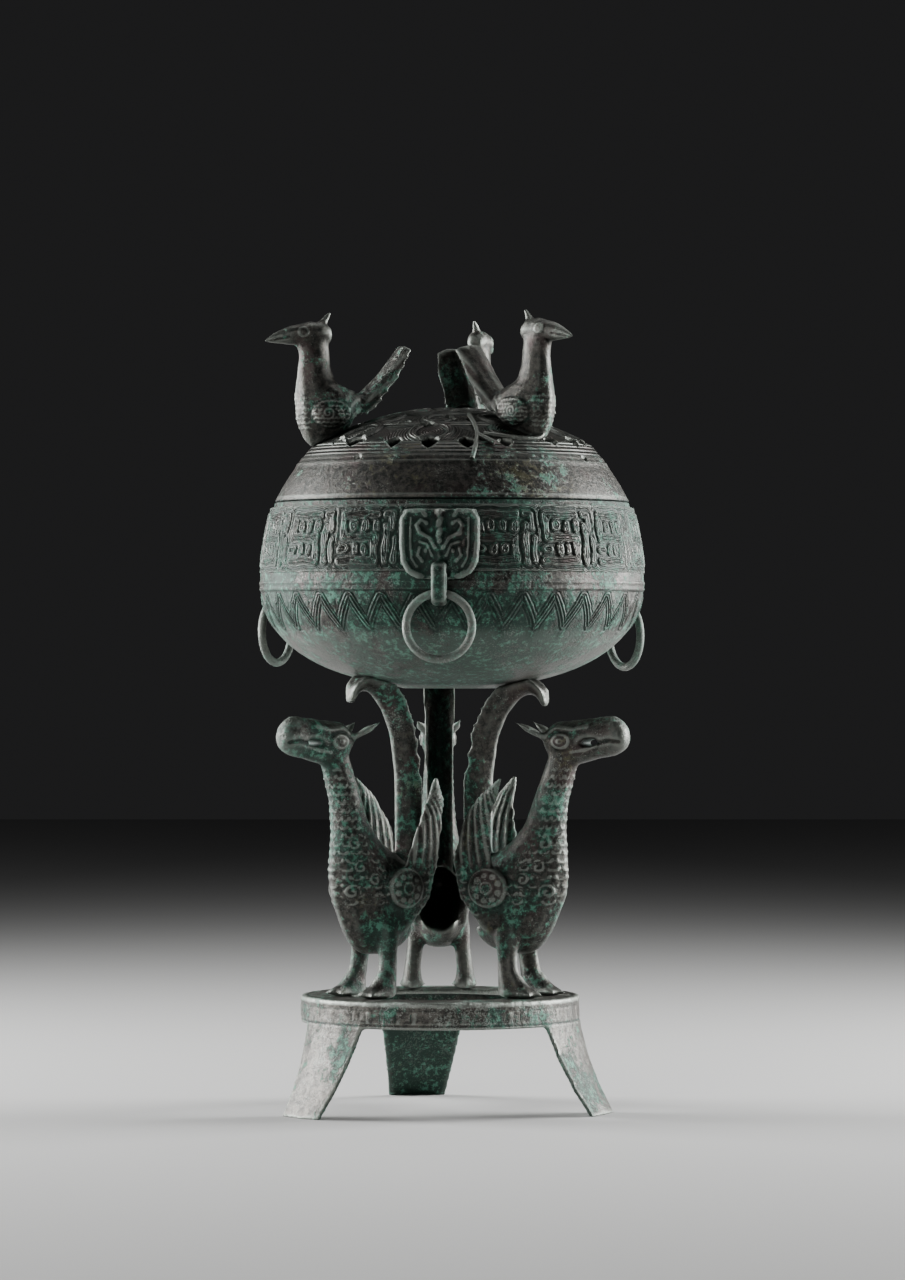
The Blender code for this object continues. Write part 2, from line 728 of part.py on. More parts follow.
def ring_pivot_radius():
    return bowl_radius + ring_wall_gap + ring_wire / 2.0


def swell(away, spread):
    """From 1 at the middle of a swelling down to 0 well past its spread."""
    return math.exp(-(away / spread) ** 2)


def mask_top_height(drop):
    """Height of a mask's top above the bowl's underside. Its ring's pivot hangs from the same height."""
    return bowl_height - mask_top_drop - drop


def mask_mesh(drop):
    """A mask plate with horns, brow, eyes and snout, and its strap, set lower than the front one by drop."""
    top = mask_top_height(drop)
    rings = []
    for fall, width in mask_outline:
        height = top - mask_height * fall
        wall = bowl_outer_radius(height)
        ring = []
        for share in (-1.0, 0.0, 1.0):
            ring.append(Vector((wall - bowl_wall, share * width * mask_half_width, height)))
        for share in reversed(mask_columns):
            across = share * width * mask_half_width
            out = abs(across) / mask_half_width
            horn = swell(out - mask_horn_place[0], mask_horn_spread[0])
            horn *= swell(fall - mask_horn_place[1], mask_horn_spread[1])
            nose = swell(out, mask_nose_spread) * (mask_nose_swell[0] + mask_nose_swell[1] * fall)
            brow = swell(fall - mask_brow_place, mask_brow_spread)
            proud = mask_plate * (1.0 + mask_horn_rise * horn + mask_nose_rise * nose + mask_brow_rise * brow)
            surface = math.sqrt(max(wall ** 2 - across ** 2, 0.0)) + frieze_relief
            ring.append(Vector((surface + proud, across, height)))
        rings.append(ring)
    parts = [skin(rings)]
    parts.append(strap_mesh(drop))
    unit = mask_height / 100.0
    for side in (1.0, -1.0):
        height = top - mask_height * mask_eye_place[1]
        reach = bowl_outer_radius(height) + frieze_relief + mask_plate
        parts.append(ball((reach / unit, side * mask_eye_place[0], height / unit), mask_eye_radii, unit))
    return fuse(parts)


def strap_mesh(drop):
    """A strap that leaves the mask's snout, drops in front of the ring's wire and turns back to the bowl."""
    pivot = ring_pivot_radius()
    pivot_height = mask_top_height(drop) - ring_pivot_drop
    half = strap_thickness / 2.0
    reach = ring_wire / 2.0 + ring_play + half
    bottom = pivot_height - reach
    top = bottom + strap_rise
    wall = bowl_radius - bowl_wall
    path = [(wall, top), (pivot - strap_neck_inset, top), (pivot + reach * 0.8, top - strap_shoulder_drop)]
    path += [(pivot + reach, top - strap_front_drop), (pivot + reach, pivot_height + strap_front_rise)]
    path += [(pivot + reach * 0.72, bottom + reach * 0.3), (pivot, bottom), (wall - bowl_wall, bottom)]
    rings = []
    for i, (x, z) in enumerate(path):
        before = Vector((path[max(i - 1, 0)][0], 0.0, path[max(i - 1, 0)][1]))
        after = Vector((path[min(i + 1, len(path) - 1)][0], 0.0, path[min(i + 1, len(path) - 1)][1]))
        run = (after - before).normalized()
        across = Vector((run.z, 0.0, -run.x))
        centre = Vector((x, 0.0, z))
        rings.append([centre - across * (a * strap_thickness) + sideways * (b * strap_width)
                      for a, b in strap_section])
    return skin(rings)


def ring_mesh():
    """A round wire ring hanging from its pivot at the origin, in the plane x = 0."""
    rings = []
    centre = Vector((0.0, 0.0, -ring_radius))
    for i in range(ring_segments):
        turn = 2.0 * math.pi * i / ring_segments
        out = Vector((0.0, math.sin(turn), math.cos(turn)))
        rings.append(oval(centre + out * ring_radius, forward, out, ring_wire / 2.0, ring_wire / 2.0, 6))
    return skin(rings, closed_path=True)


# Base


def base_band_mesh():
    low = base_top_height - base_band_height
    flange = base_top_height - base_wall
    profile = [(base_radius, low), (base_radius, base_top_height), (base_hole_radius, base_top_height)]
    profile += [(base_hole_radius, flange), (base_radius - base_wall, flange), (base_radius - base_wall, low)]
    return skin(turn_profile(profile, base_columns), closed_path=True)


def base_seat_cutter(parent):
    """A disc up to just above the base's top, to cut the beasts' feet flat."""
    reach = base_radius * 1.3
    profile = [(reach, base_top_height - base_wall), (reach, base_top_height + solder_gap)]
    return add_guide("base_seat_cutter", skin(turn_profile(profile, 24)), parent)


# Places across a leg, from one edge to the other
leg_ways = (-1.0, -0.5, 0.0, 0.5, 1.0)


def leg_mesh(bearing):
    """A curved plate that splays outward from the band to a flat foot."""
    top = base_top_height - base_wall * 0.6
    rings = []
    for share in (0.0, 0.25, 0.5, 0.75, 1.0):
        height = top * (1.0 - share)
        reach = base_radius - base_wall * 0.2 + (leg_foot_radius - base_radius) * share ** leg_splay_curve
        width = leg_top_width + (leg_foot_width - leg_top_width) * share ** leg_width_curve
        ring = []
        for radius, ways in ((reach, leg_ways), (reach - leg_thickness, tuple(reversed(leg_ways)))):
            for way in ways:
                turn = math.radians(bearing) + way * width / 2.0 / reach
                ring.append(Vector((radius * math.cos(turn), radius * math.sin(turn), height)))
        rings.append(ring)
    return skin(rings)


# Assembly


def place_origin(root):
    """Move the whole vessel so that the origin is the middle of its underside."""
    bpy.context.view_layer.update()
    graph = bpy.context.evaluated_depsgraph_get()
    points = []
    for obj in bpy.data.objects:
        if obj.type == "MESH" and not obj.hide_render:
            shown = obj.evaluated_get(graph)
            points += [shown.matrix_world @ vert.co for vert in shown.data.vertices]
    lows = [min(point[axis] for point in points) for axis in range(3)]
    highs = [max(point[axis] for point in points) for axis in range(3)]
    root.location = (-(lows[0] + highs[0]) / 2.0, -(lows[1] + highs[1]) / 2.0, -lows[2])


def main():
    clear_scene()
    root = add_object("vessel_origin", None)
    bowl_axis = add_object("bowl_axis", None, root)
    bowl_axis.location = (bowl_shift, 0.0, bowl_underside_height)
    lid_axis = add_object("lid_axis", None, bowl_axis)
    lid_axis.location = (0.0, 0.0, bowl_height + solder_gap)

    mouth = make_bowl(bowl_axis, bronze("bowl_bronze", bowl_bronze))
    make_lid(lid_axis, bronze("lid_bronze", lid_bronze), mouth)
    deepest_relief = max(frieze_relief, ridge_relief, pendant_relief)
    carved_cutter = bowl_seat_cutter("carved_cutter", deepest_relief, bowl_axis)
    underside_cutter = bowl_seat_cutter("underside_cutter", 0.0, bowl_axis)
    lid_cutter = lid_seat_cutter(lid_axis)

    bird_material = bronze("bird_bronze", bird_bronze)
    for name, heading in bird_headings.items():
        turn = math.radians(heading)
        bird = add_object(name, bird_mesh(), lid_axis)
        across = bird_ring_shift + bird_radius * math.cos(turn)
        bird.location = (across, bird_radius * math.sin(turn), bird_foot_height - solder_gap)
        bird.rotation_euler = (0.0, 0.0, turn)
        thin_out(bird, bird_faces_kept)
        cut_by(bird, lid_cutter)
        finish(bird, bird_material)

    mask_material = bronze("mask_bronze", ring_bronze)
    ring_material = bronze("ring_bronze", ring_bronze)
    for place, (bearing, drop) in mask_places.items():
        turn = math.radians(bearing)
        mask = add_object("mask_" + place, mask_mesh(drop), bowl_axis)
        mask.rotation_euler = (0.0, 0.0, turn)
        cut_by(mask, carved_cutter)
        finish(mask, mask_material)
        ring = add_object("ring_" + place, ring_mesh(), bowl_axis)
        reach = ring_pivot_radius()
        height = mask_top_height(drop) - ring_pivot_drop
        ring.location = (reach * math.cos(turn), reach * math.sin(turn), height)
        ring.rotation_euler = (0.0, 0.0, turn)
        finish(ring, ring_material)

    floor_cutter = base_seat_cutter(root)
    beast_material = bronze("beast_bronze", beast_bronze)
    for name, (heading, stretch, sweeps) in beast_poses.items():
        beast = add_object(name, beast_mesh(heading, stretch, sweeps), root)
        beast.location = (0.0, 0.0, base_top_height)
        beast.rotation_euler = (0.0, 0.0, math.radians(heading))
        thin_out(beast, beast_faces_kept)
        cut_by(beast, underside_cutter)
        cut_by(beast, floor_cutter)
        finish(beast, beast_material)

    legs = [leg_mesh(bearing) for bearing in leg_bearings]
    base = add_object("base_stand", fuse([base_band_mesh()] + legs), root)
    finish(base, bronze("base_bronze", base_bronze))
    place_origin(root)


main()
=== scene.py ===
# %% [markdown]
# # A bronze dou vessel
#
# The real vessel is a set of bronze castings: a round bowl with a pierced lid, three birds, three mask lugs
# with drop rings, three winged beasts and a ring base. The solids already have each casting's form and place.
# Here each one gets its carved surface and its patina. We start by opening the solids and noting their box.

# %% Open the frame
import json
import math
import bpy
import numpy as np
from mathutils import Matrix, Vector

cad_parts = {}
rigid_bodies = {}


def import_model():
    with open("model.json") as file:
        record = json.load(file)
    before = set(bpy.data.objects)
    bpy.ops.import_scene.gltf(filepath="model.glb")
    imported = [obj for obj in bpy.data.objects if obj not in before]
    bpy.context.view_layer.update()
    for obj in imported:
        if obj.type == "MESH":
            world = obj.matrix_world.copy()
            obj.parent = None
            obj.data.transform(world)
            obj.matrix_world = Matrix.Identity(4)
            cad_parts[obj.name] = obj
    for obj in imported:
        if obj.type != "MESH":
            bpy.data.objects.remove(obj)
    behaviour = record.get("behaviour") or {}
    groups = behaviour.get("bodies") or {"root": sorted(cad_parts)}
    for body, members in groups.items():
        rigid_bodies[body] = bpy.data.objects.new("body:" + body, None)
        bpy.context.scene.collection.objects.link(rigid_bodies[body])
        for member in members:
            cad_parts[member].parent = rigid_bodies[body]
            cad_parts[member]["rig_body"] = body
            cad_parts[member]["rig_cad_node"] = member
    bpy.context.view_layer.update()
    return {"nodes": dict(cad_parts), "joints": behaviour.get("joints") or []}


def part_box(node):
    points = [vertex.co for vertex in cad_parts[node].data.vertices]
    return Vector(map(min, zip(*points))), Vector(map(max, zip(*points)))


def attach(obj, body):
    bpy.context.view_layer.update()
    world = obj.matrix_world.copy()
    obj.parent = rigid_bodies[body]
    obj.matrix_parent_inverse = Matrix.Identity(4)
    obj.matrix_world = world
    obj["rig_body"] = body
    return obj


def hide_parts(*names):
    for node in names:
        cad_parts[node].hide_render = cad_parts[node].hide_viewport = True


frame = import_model()
MM = 0.001
print("nodes:", sorted(frame["nodes"]))

# %% [markdown]
# ## Axes shared by all the pieces
#
# The bowl and lid are round about one upright axis, and the stand's axis is a little to its left. Both are
# worked out from the boxes of the solids, so that every piece lands where its solid is.

# %% Axes and heights
bowl_low, bowl_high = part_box("bowl")
base_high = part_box("base_stand")[1]
lid_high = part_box("lid")[1]
bowl_shift = 5.4 * MM
lid_gap = 0.3 * MM
bowl_axis = Vector(((bowl_low.x + bowl_high.x) / 2.0, (bowl_low.y + bowl_high.y) / 2.0, bowl_low.z))
lid_axis = Vector((bowl_axis.x, bowl_axis.y, bowl_high.z + lid_gap))
stand_axis = Vector((bowl_axis.x - bowl_shift, bowl_axis.y, base_high.z))
print("bowl axis", bowl_axis, "stand axis", stand_axis)

# %% [markdown]
# ## Working by operator
#
# An operator acts on everything that is selected, and the solids come in selected. So each step first
# deselects everything and then chooses the one piece it works on.

# %% Select, copy and finish
solid_weld = 0.002 * MM
turned_weld = 0.02 * MM


def clear_selection():
    if bpy.context.mode != "OBJECT":
        bpy.ops.object.mode_set(mode="OBJECT")
    bpy.ops.object.select_all(action="DESELECT")


def choose(piece):
    clear_selection()
    piece.select_set(True)
    bpy.context.view_layer.objects.active = piece


def apply_modifier(piece, kind, **settings):
    modifier = piece.modifiers.new(kind.lower(), kind)
    for name, value in settings.items():
        setattr(modifier, name, value)
    choose(piece)
    bpy.ops.object.modifier_apply(modifier=modifier.name)


def apply_place(piece):
    choose(piece)
    bpy.ops.object.transform_apply(location=True, rotation=True, scale=True)


def solid_copy(node, name):
    """A merged copy of a solid, free to be carved."""
    piece = frame["nodes"][node].copy()
    piece.data = piece.data.copy()
    piece.name = name
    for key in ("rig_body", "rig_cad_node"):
        if key in piece:
            del piece[key]
    bpy.context.scene.collection.objects.link(piece)
    piece.parent = None
    piece.matrix_world = Matrix.Identity(4)
    choose(piece)
    bpy.ops.object.mode_set(mode="EDIT")
    bpy.ops.mesh.select_all(action="SELECT")
    bpy.ops.mesh.remove_doubles(threshold=solid_weld)
    bpy.ops.mesh.normals_make_consistent(inside=False)
    bpy.ops.object.mode_set(mode="OBJECT")
    return piece


def turned(name, profile, columns):
    """A piece turned about the bowl's axis, as on a lathe, from (radius, height) points."""
    clear_selection()
    start = (bowl_axis.x + profile[0][0], bowl_axis.y, bowl_axis.z + profile[0][1])
    bpy.ops.mesh.primitive_plane_add(size=MM, location=start)
    piece = bpy.context.object
    piece.name = name
    bpy.ops.object.mode_set(mode="EDIT")
    bpy.ops.mesh.select_all(action="SELECT")
    bpy.ops.mesh.merge(type="CENTER")
    for before, after in zip(profile, profile[1:]):
        step = (after[0] - before[0], 0.0, after[1] - before[1])
        bpy.ops.mesh.extrude_region_move(TRANSFORM_OT_translate={"value": step})
    bpy.ops.mesh.select_all(action="SELECT")
    bpy.ops.mesh.spin(steps=columns, angle=2.0 * math.pi, center=bowl_axis, axis=(0.0, 0.0, 1.0))
    bpy.ops.mesh.select_all(action="SELECT")
    bpy.ops.mesh.remove_doubles(threshold=turned_weld)
    bpy.ops.mesh.normals_make_consistent(inside=False)
    bpy.ops.object.mode_set(mode="OBJECT")
    apply_place(piece)
    print(name, len(piece.data.vertices), "vertices")
    return piece


# %% [markdown]
# ## Carving as heights
#
# The relief on such a casting was pressed or cut in the mould, so it is a small height added to a plain form.
# Moving the vertices of a fine mesh by that height gives real carving that catches the light. The helpers
# below give the distance to a drawn line in millimetres, and from 0 to 1 how high a spiral stands.

# %% Heights from drawn lines
def vertex_places(piece):
    flat = np.empty(len(piece.data.vertices) * 3)
    piece.data.vertices.foreach_get("co", flat)
    return flat.reshape(-1, 3)


def vertex_normals(piece):
    flat = np.empty(len(piece.data.vertices) * 3)
    piece.data.vertices.foreach_get("normal", flat)
    return flat.reshape(-1, 3)


def place_vertices(piece, places):
    piece.data.vertices.foreach_set("co", np.ascontiguousarray(places).ravel())
    piece.data.update()


def rise(value):
    """A smooth step from 0 to 1 as value goes from 0 to 1."""
    share = np.clip(value, 0.0, 1.0)
    return share * share * (3.0 - 2.0 * share)


def bump(value, half_width):
    return np.exp(-(value / half_width) ** 2)


def to_line(x, y, points):
    """Distance to the line drawn through points."""
    best = np.full(x.shape, 1000.0)
    for (ax, ay), (bx, by) in zip(points, points[1:]):
        dx, dy = bx - ax, by - ay
        share = np.clip(((x - ax) * dx + (y - ay) * dy) / (dx * dx + dy * dy), 0.0, 1.0)
        best = np.minimum(best, np.hypot(x - ax - share * dx, y - ay - share * dy))
    return best


def spiral(x, y, centre, radius, pitch=1.3, hand=1.0):
    """From 0 between the turns of a spiral round centre to 1 along its line."""
    dx, dy = x - centre[0], y - centre[1]
    reach = np.hypot(dx, dy)
    turn = np.arctan2(dy, dx) / (2.0 * math.pi)
    groove = 0.5 + 0.5 * np.cos(2.0 * math.pi * (reach / pitch - hand * turn))
    return groove * rise((radius - reach) / 0.5)


# %% [markdown]
# ## Where the bronze is worn, where grime sits, and where light and shade are painted
#
# Edges of an old bronze are worn pale and hollows hold dark green corrosion. The pale edges are also painted
# highlights, and the dark hollows are also painted shade. How far a vertex stands out of its neighbours tells
# which is which. It is kept as an attribute, which the patina reads. A narrow band at the height where the
# lid meets the bowl counts as a hollow, which paints a dark shadow line along the join.

# %% Wear attribute
wear_and_light_gain = 4.5
seam_shadow_half_width = 0.9


def add_attribute(piece, name, values):
    attribute = piece.data.attributes.new(name, "FLOAT", "POINT")
    attribute.data.foreach_set("value", values.astype(np.float32))


def edge_ends(piece):
    """Both ends of every edge, and how many neighbours each vertex has."""
    ends = np.empty(len(piece.data.edges) * 2, dtype=np.int32)
    piece.data.edges.foreach_get("vertices", ends)
    first, second = ends.reshape(-1, 2).T
    count = np.bincount(ends, minlength=len(piece.data.vertices))
    return first, second, np.maximum(count, 1)


def neighbour_mean(values, first, second, number):
    if values.ndim == 2:
        return np.stack([neighbour_mean(column, first, second, number) for column in values.T], axis=1)
    count = len(values)
    total = np.bincount(first, values[second], count) + np.bincount(second, values[first], count)
    return total / number


def smoothed(values, ends, rounds):
    for step in range(rounds):
        values = 0.5 * values + 0.5 * neighbour_mean(values, *ends)
    return values


# Standing-out places are later painted pale, as wear and as painted highlights. Hollow places are painted
# dark, as grime and as painted shade.
def add_wear_and_painted_light(piece):
    places, normals, ends = vertex_places(piece), vertex_normals(piece), edge_ends(piece)
    spacing = np.linalg.norm(places[ends[0]] - places[ends[1]], axis=1).mean()
    stands_out = ((places - neighbour_mean(places, *ends)) * normals).sum(axis=1) / spacing
    wear = 0.5 + smoothed(stands_out, ends, 2) * wear_and_light_gain
    # Painted shadow: near the height of the lid's join the value is pulled to zero, which the patina paints
    # dark as a shadow line in the gap.
    painted_seam_shadow = bump((places[:, 2] - lid_axis.z) / MM, seam_shadow_half_width)
    add_attribute(piece, "wear", np.clip(wear * (1.0 - painted_seam_shadow), 0.0, 1.0))


# %% [markdown]
# ## The patina
#
# Buried bronze is dark brown to black metal, with malachite green crusts, earthy ochre spots, some cuprite
# red and pale worn edges. The pale edges also paint highlights, and the near-black in hollows and grooves
# also paints shade. Each is a mask from noise in Object coordinates, so it stays put on the piece. Two more
# attributes help: thread counts fine grooves in turns, and shade marks places made darker and greener, which
# on the base's back leg is painted shadow. A small class wraps a socket, so that sums of masks read as plain
# arithmetic.

# %% Shader arithmetic
class Wire:
    """A socket in a material's node tree whose operators add Math nodes."""

    def __init__(self, tree, socket):
        self.tree = tree
        self.socket = socket

    def add(self, kind, settings=(), values=(), output=0):
        node = self.tree.nodes.new(kind)
        for name, value in settings:
            setattr(node, name, value)
        for key, value in values:
            if isinstance(value, Wire):
                self.tree.links.new(value.socket, node.inputs[key])
            else:
                node.inputs[key].default_value = value
        return Wire(self.tree, node.outputs[output])

    def math(self, operation, first, second, clamp=False):
        settings = (("operation", operation), ("use_clamp", clamp))
        return self.add("ShaderNodeMath", settings, ((0, first), (1, second)))

    def __add__(self, other):
        return self.math("ADD", self, other)

    __radd__ = __add__

    def __sub__(self, other):
        return self.math("SUBTRACT", self, other)

    def __rsub__(self, other):
        return self.math("SUBTRACT", other, self)

    def __mul__(self, other):
        return self.math("MULTIPLY", self, other)

    __rmul__ = __mul__

    def clamped(self):
        return self.math("ADD", self, 0.0, clamp=True)

    def steps(self, low, high):
        """A mask that rises from 0 at low to 1 at high."""
        values = (("Value", self), ("From Min", low), ("From Max", high))
        return self.add("ShaderNodeMapRange", (("interpolation_type", "SMOOTHSTEP"),), values)


def mixed(factor, first, second):
    settings = (("data_type", "RGBA"),)
    return factor.add("ShaderNodeMix", settings, ((0, factor), (6, first), (7, second)), output=2)


# %% Patina recipe
# The pale grey colour is worn bronze and also a painted highlight on standing-out edges. The near-black one
# is grime and also painted shade in hollows, grooves and the lid's join.
cuprite, rubbed_and_highlight, dirt_and_painted_shade = (0.055, 0.034, 0.034, 1.0), (0.36, 0.4, 0.36, 1.0), (0.006, 0.012, 0.009, 1.0)
dark_green, mint_green, earth = (0.004, 0.03, 0.019, 1.0), (0.06, 0.2, 0.14, 1.0), (0.06, 0.058, 0.014, 1.0)
pit_depth, pit_strength = 0.4 * MM, 0.95


def patina(name, dark, brown, green_share, ochre_share, pale_share):
    """Patinated bronze: the shares say how much of the surface each crust takes."""
    material = bpy.data.materials.new(name)
    material.use_nodes = True
    tree = material.node_tree
    shader = tree.nodes["Principled BSDF"]
    start = Wire(tree, None)
    place = start.add("ShaderNodeTexCoord", output=3)

    def noise(scale, detail, roughness=0.6):
        values = (("Vector", place), ("Scale", scale), ("Detail", detail), ("Roughness", roughness))
        return start.add("ShaderNodeTexNoise", (), values)

    def attribute(title):
        return start.add("ShaderNodeAttribute", (("attribute_name", title),), output=2)

    wear, thread, shade = attribute("wear"), attribute("thread"), attribute("shade")
    broad, middle = noise(24.0, 5.0), noise(90.0, 6.0, 0.7)
    fine, grain = noise(380.0, 5.0, 0.75), noise(1400.0, 3.0)
    threaded = thread.steps(0.02, 0.3)
    groove = threaded * (0.5 - 0.5 * start.math("COSINE", thread * (2.0 * math.pi), 0.0))
    # Hollows and fine grooves, darkened below as grime and as painted shade.
    hollow_grime_and_shade = (wear.steps(0.5, 0.2) + groove * 0.7).clamped()
    edge = wear.steps(0.55, 0.8)
    green_at = 0.63 - 0.24 * green_share
    crusts = broad * 0.4 + middle * 0.35 + fine * 0.25 + hollow_grime_and_shade * 0.05 + shade * 0.12
    green = crusts.steps(green_at, green_at + 0.05)
    mint = (middle * 0.35 + fine * 0.65).steps(0.51, 0.6)
    ochre_at = 0.66 - 0.2 * ochre_share
    ochre = (noise(40.0, 6.0, 0.7) * 0.55 + fine * 0.45).steps(ochre_at, ochre_at + 0.06)
    red = noise(52.0, 4.0).steps(0.54, 0.66)
    frost_at = 0.6 - 0.1 * pale_share
    frost = (noise(55.0, 7.0, 0.75) * 0.5 + grain * 0.5).steps(frost_at, frost_at + 0.06)
    colour = mixed(fine.steps(0.35, 0.65), dark + (1.0,), brown + (1.0,))
    colour = mixed(red * 0.5, colour, cuprite)
    colour = mixed(green * 0.9, colour, mixed(mint, dark_green, mint_green))
    colour = mixed(ochre * 0.55, colour, earth)
    # Pale frost speckle plus standing-out edges, painted pale as wear and as highlights.
    frost_and_edge_highlight = (frost * 0.55 + edge * 0.6).clamped()
    pale = frost_and_edge_highlight * (0.25 + 0.6 * pale_share) * (1.0 - shade * 0.75)
    colour = mixed(pale, colour, rubbed_and_highlight)
    # Painted shade and grime: near-black in hollows, grooves and the lid's join.
    colour = mixed(hollow_grime_and_shade * 0.8, colour, dirt_and_painted_shade)
    tree.links.new(colour.socket, shader.inputs["Base Color"])
    roughness = 0.34 + 0.2 * green + 0.18 * fine + 0.1 * frost
    tree.links.new(roughness.clamped().socket, shader.inputs["Roughness"])
    metallic = 0.8 - 0.5 * green - 0.3 * ochre - 0.35 * frost
    tree.links.new(metallic.clamped().socket, shader.inputs["Metallic"])
    height = middle * 0.8 + fine * 0.8 + grain * 0.35 + green * 0.3 - groove * 1.5
    values = (("Height", height), ("Distance", pit_depth), ("Strength", pit_strength))
    tree.links.new(start.add("ShaderNodeBump", (), values).socket, shader.inputs["Normal"])
    return material


soot, umber = (0.016, 0.018, 0.016), (0.07, 0.066, 0.058)
bowl_patina = patina("bowl_patina", soot, umber, 0.6, 0.15, 0.5)
lid_patina = patina("lid_patina", soot, umber, 0.3, 0.5, 0.3)
bird_patina = patina("bird_patina", soot, umber, 0.4, 0.15, 0.3)
mask_patina = patina("mask_patina", soot, umber, 0.8, 0.3, 0.45)
beast_patina = patina("beast_patina", soot, umber, 0.55, 0.45, 0.4)
base_patina = patina("base_patina", (0.028, 0.027, 0.025), (0.12, 0.113, 0.1), 0.5, 0.15, 0.75)
print("patinas:", len(bpy.data.materials))


# %% Dress a finished piece
def dress(piece, material, slot, body, *nodes):
    """Give a finished piece its patina, its place on a body, and the solids that it stands for."""
    add_wear_and_painted_light(piece)
    piece.data.materials.clear()
    piece.data.materials.append(material)
    choose(piece)
    bpy.ops.object.shade_smooth()
    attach(piece, body)
    if nodes:
        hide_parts(*nodes)
    piece.data.calc_loop_triangles()
    print(piece.name, len(piece.data.loop_triangles), "triangles")


# %% [markdown]
# ## The bowl
#
# The bowl is a squashed round body that flares in again to its mouth. It could be a sculpted sphere, but a
# profile spun round the axis keeps the true wall and lets the rows sit closer where there is carving. The
# carved frieze is a ring of its own, let into the wall, so that only that part needs a very fine mesh.

# %% Bowl form
bowl_radius = 86.2 * MM
bowl_height = bowl_high.z - bowl_low.z
belly_height = 49.0 * MM
belly_fullness = 2.3
mouth_flare = 5.6 * MM
mouth_flare_curve = 1.7
bowl_wall = 2.8 * MM
underside_flat_radius = 22.0 * MM
lip_height = 3.4 * MM
lip_step = 0.9 * MM
frieze_height = 27.0 * MM
frieze_recess = 0.6 * MM
frieze_to_ridge = 5.0 * MM
ridge_height = 4.4 * MM
ridge_to_pendant = 3.2 * MM
pendant_height = 12.2 * MM
frieze_top = bowl_height - lip_height
frieze_bottom = frieze_top - frieze_height
ridge_top = frieze_bottom - frieze_to_ridge
ridge_bottom = ridge_top - ridge_height
pendant_top = ridge_bottom - ridge_to_pendant
pendant_tip = pendant_top - pendant_height


def bowl_outer_radius(height):
    sink = np.clip(1.0 - height / belly_height, 0.0, 1.0)
    low = bowl_radius * (1.0 - sink ** belly_fullness) ** (1.0 / belly_fullness)
    climb = np.clip((height - belly_height) / (bowl_height - belly_height), 0.0, 1.0)
    return np.where(height < belly_height, low, bowl_radius - mouth_flare * climb ** mouth_flare_curve)


def heights_between(low, high, count):
    return [low + (high - low) * i / count for i in range(count)]


def bowl_profile():
    rows = [(0.0, 0.0), (underside_flat_radius, 0.0)]
    first = 1.6 * MM
    heights = [first + (pendant_tip - first) * (i / 12.0) ** 1.5 for i in range(12)]
    heights += heights_between(pendant_tip, pendant_top + 1.0 * MM, 26)
    heights += heights_between(pendant_top + 1.0 * MM, ridge_top + 1.0 * MM, 13)
    heights += heights_between(ridge_top + 1.0 * MM, frieze_bottom, 3)
    rows += [(float(bowl_outer_radius(height)), height) for height in heights]
    for height in (frieze_bottom, frieze_bottom + 9.0 * MM, frieze_bottom + 18.0 * MM, frieze_top):
        rows.append((float(bowl_outer_radius(height)) - frieze_recess, height))
    mouth = float(bowl_outer_radius(bowl_height)) - lip_step
    rows += [(mouth + 0.3 * MM, frieze_top + 0.4 * MM), (mouth, bowl_height - 0.5 * MM)]
    rows += [(mouth - 0.4 * MM, bowl_height), (mouth - bowl_wall + 0.3 * MM, bowl_height)]
    rows += [(mouth - bowl_wall, bowl_height - 0.5 * MM), (mouth - bowl_wall, bowl_height - 7.0 * MM)]
    for height in (60.0, 49.0, 38.0, 27.0, 17.0, 10.0, 6.0, 4.2):
        inside = float(bowl_outer_radius(np.float64(height * MM - bowl_wall * 0.7))) - bowl_wall
        rows.append((inside, height * MM))
    rows.append((0.0, bowl_wall))
    return rows


# %% [markdown]
# Below the frieze run two raised lines and a row of hanging triangles, each with a pair of small spirals over
# a third. They are drawn flat, as heights across and down one triangle, and repeated round the bowl.

# %% Bowl carving
pendant_count = 34
pendant_row_radius = 83.0
line_width = 0.42
line_spacing = 1.5
# Each spiral's place across and up, its radius, and the way it turns
pendant_spirals = ((-2.2, -2.6, 2.2, 1.0), (2.2, -2.6, 2.2, -1.0), (0.0, -6.4, 1.5, 1.0))


def pendant_place(along, height):
    """Millimetres across, up from a triangle's top, and away from its outline. along runs from -1 to 1."""
    half_pitch = math.pi * pendant_row_radius / pendant_count
    x, y = along * half_pitch, height / MM
    tip, top = pendant_tip / MM, pendant_top / MM
    outline = ((-half_pitch + 0.5, top + 0.4), (0.0, tip), (half_pitch - 0.5, top + 0.4))
    return x, y - top, to_line(x, y, outline)


def pendant_relief(along, height):
    x, y, away = pendant_place(along, height)
    relief = 0.6 * bump(away, line_width) + 0.3 * bump(away - line_spacing, line_width)
    for across, level, radius, hand in pendant_spirals:
        relief += 0.4 * spiral(x, y, (across, level), radius, pitch=1.6, hand=hand)
    return relief


def pendant_thread(along, height):
    """Fine grooves on both sides of the outline, counted in turns. A whole number of turns draws nothing."""
    return np.minimum(pendant_place(along, height)[2] / line_spacing, 2.0) * (height < ridge_bottom)


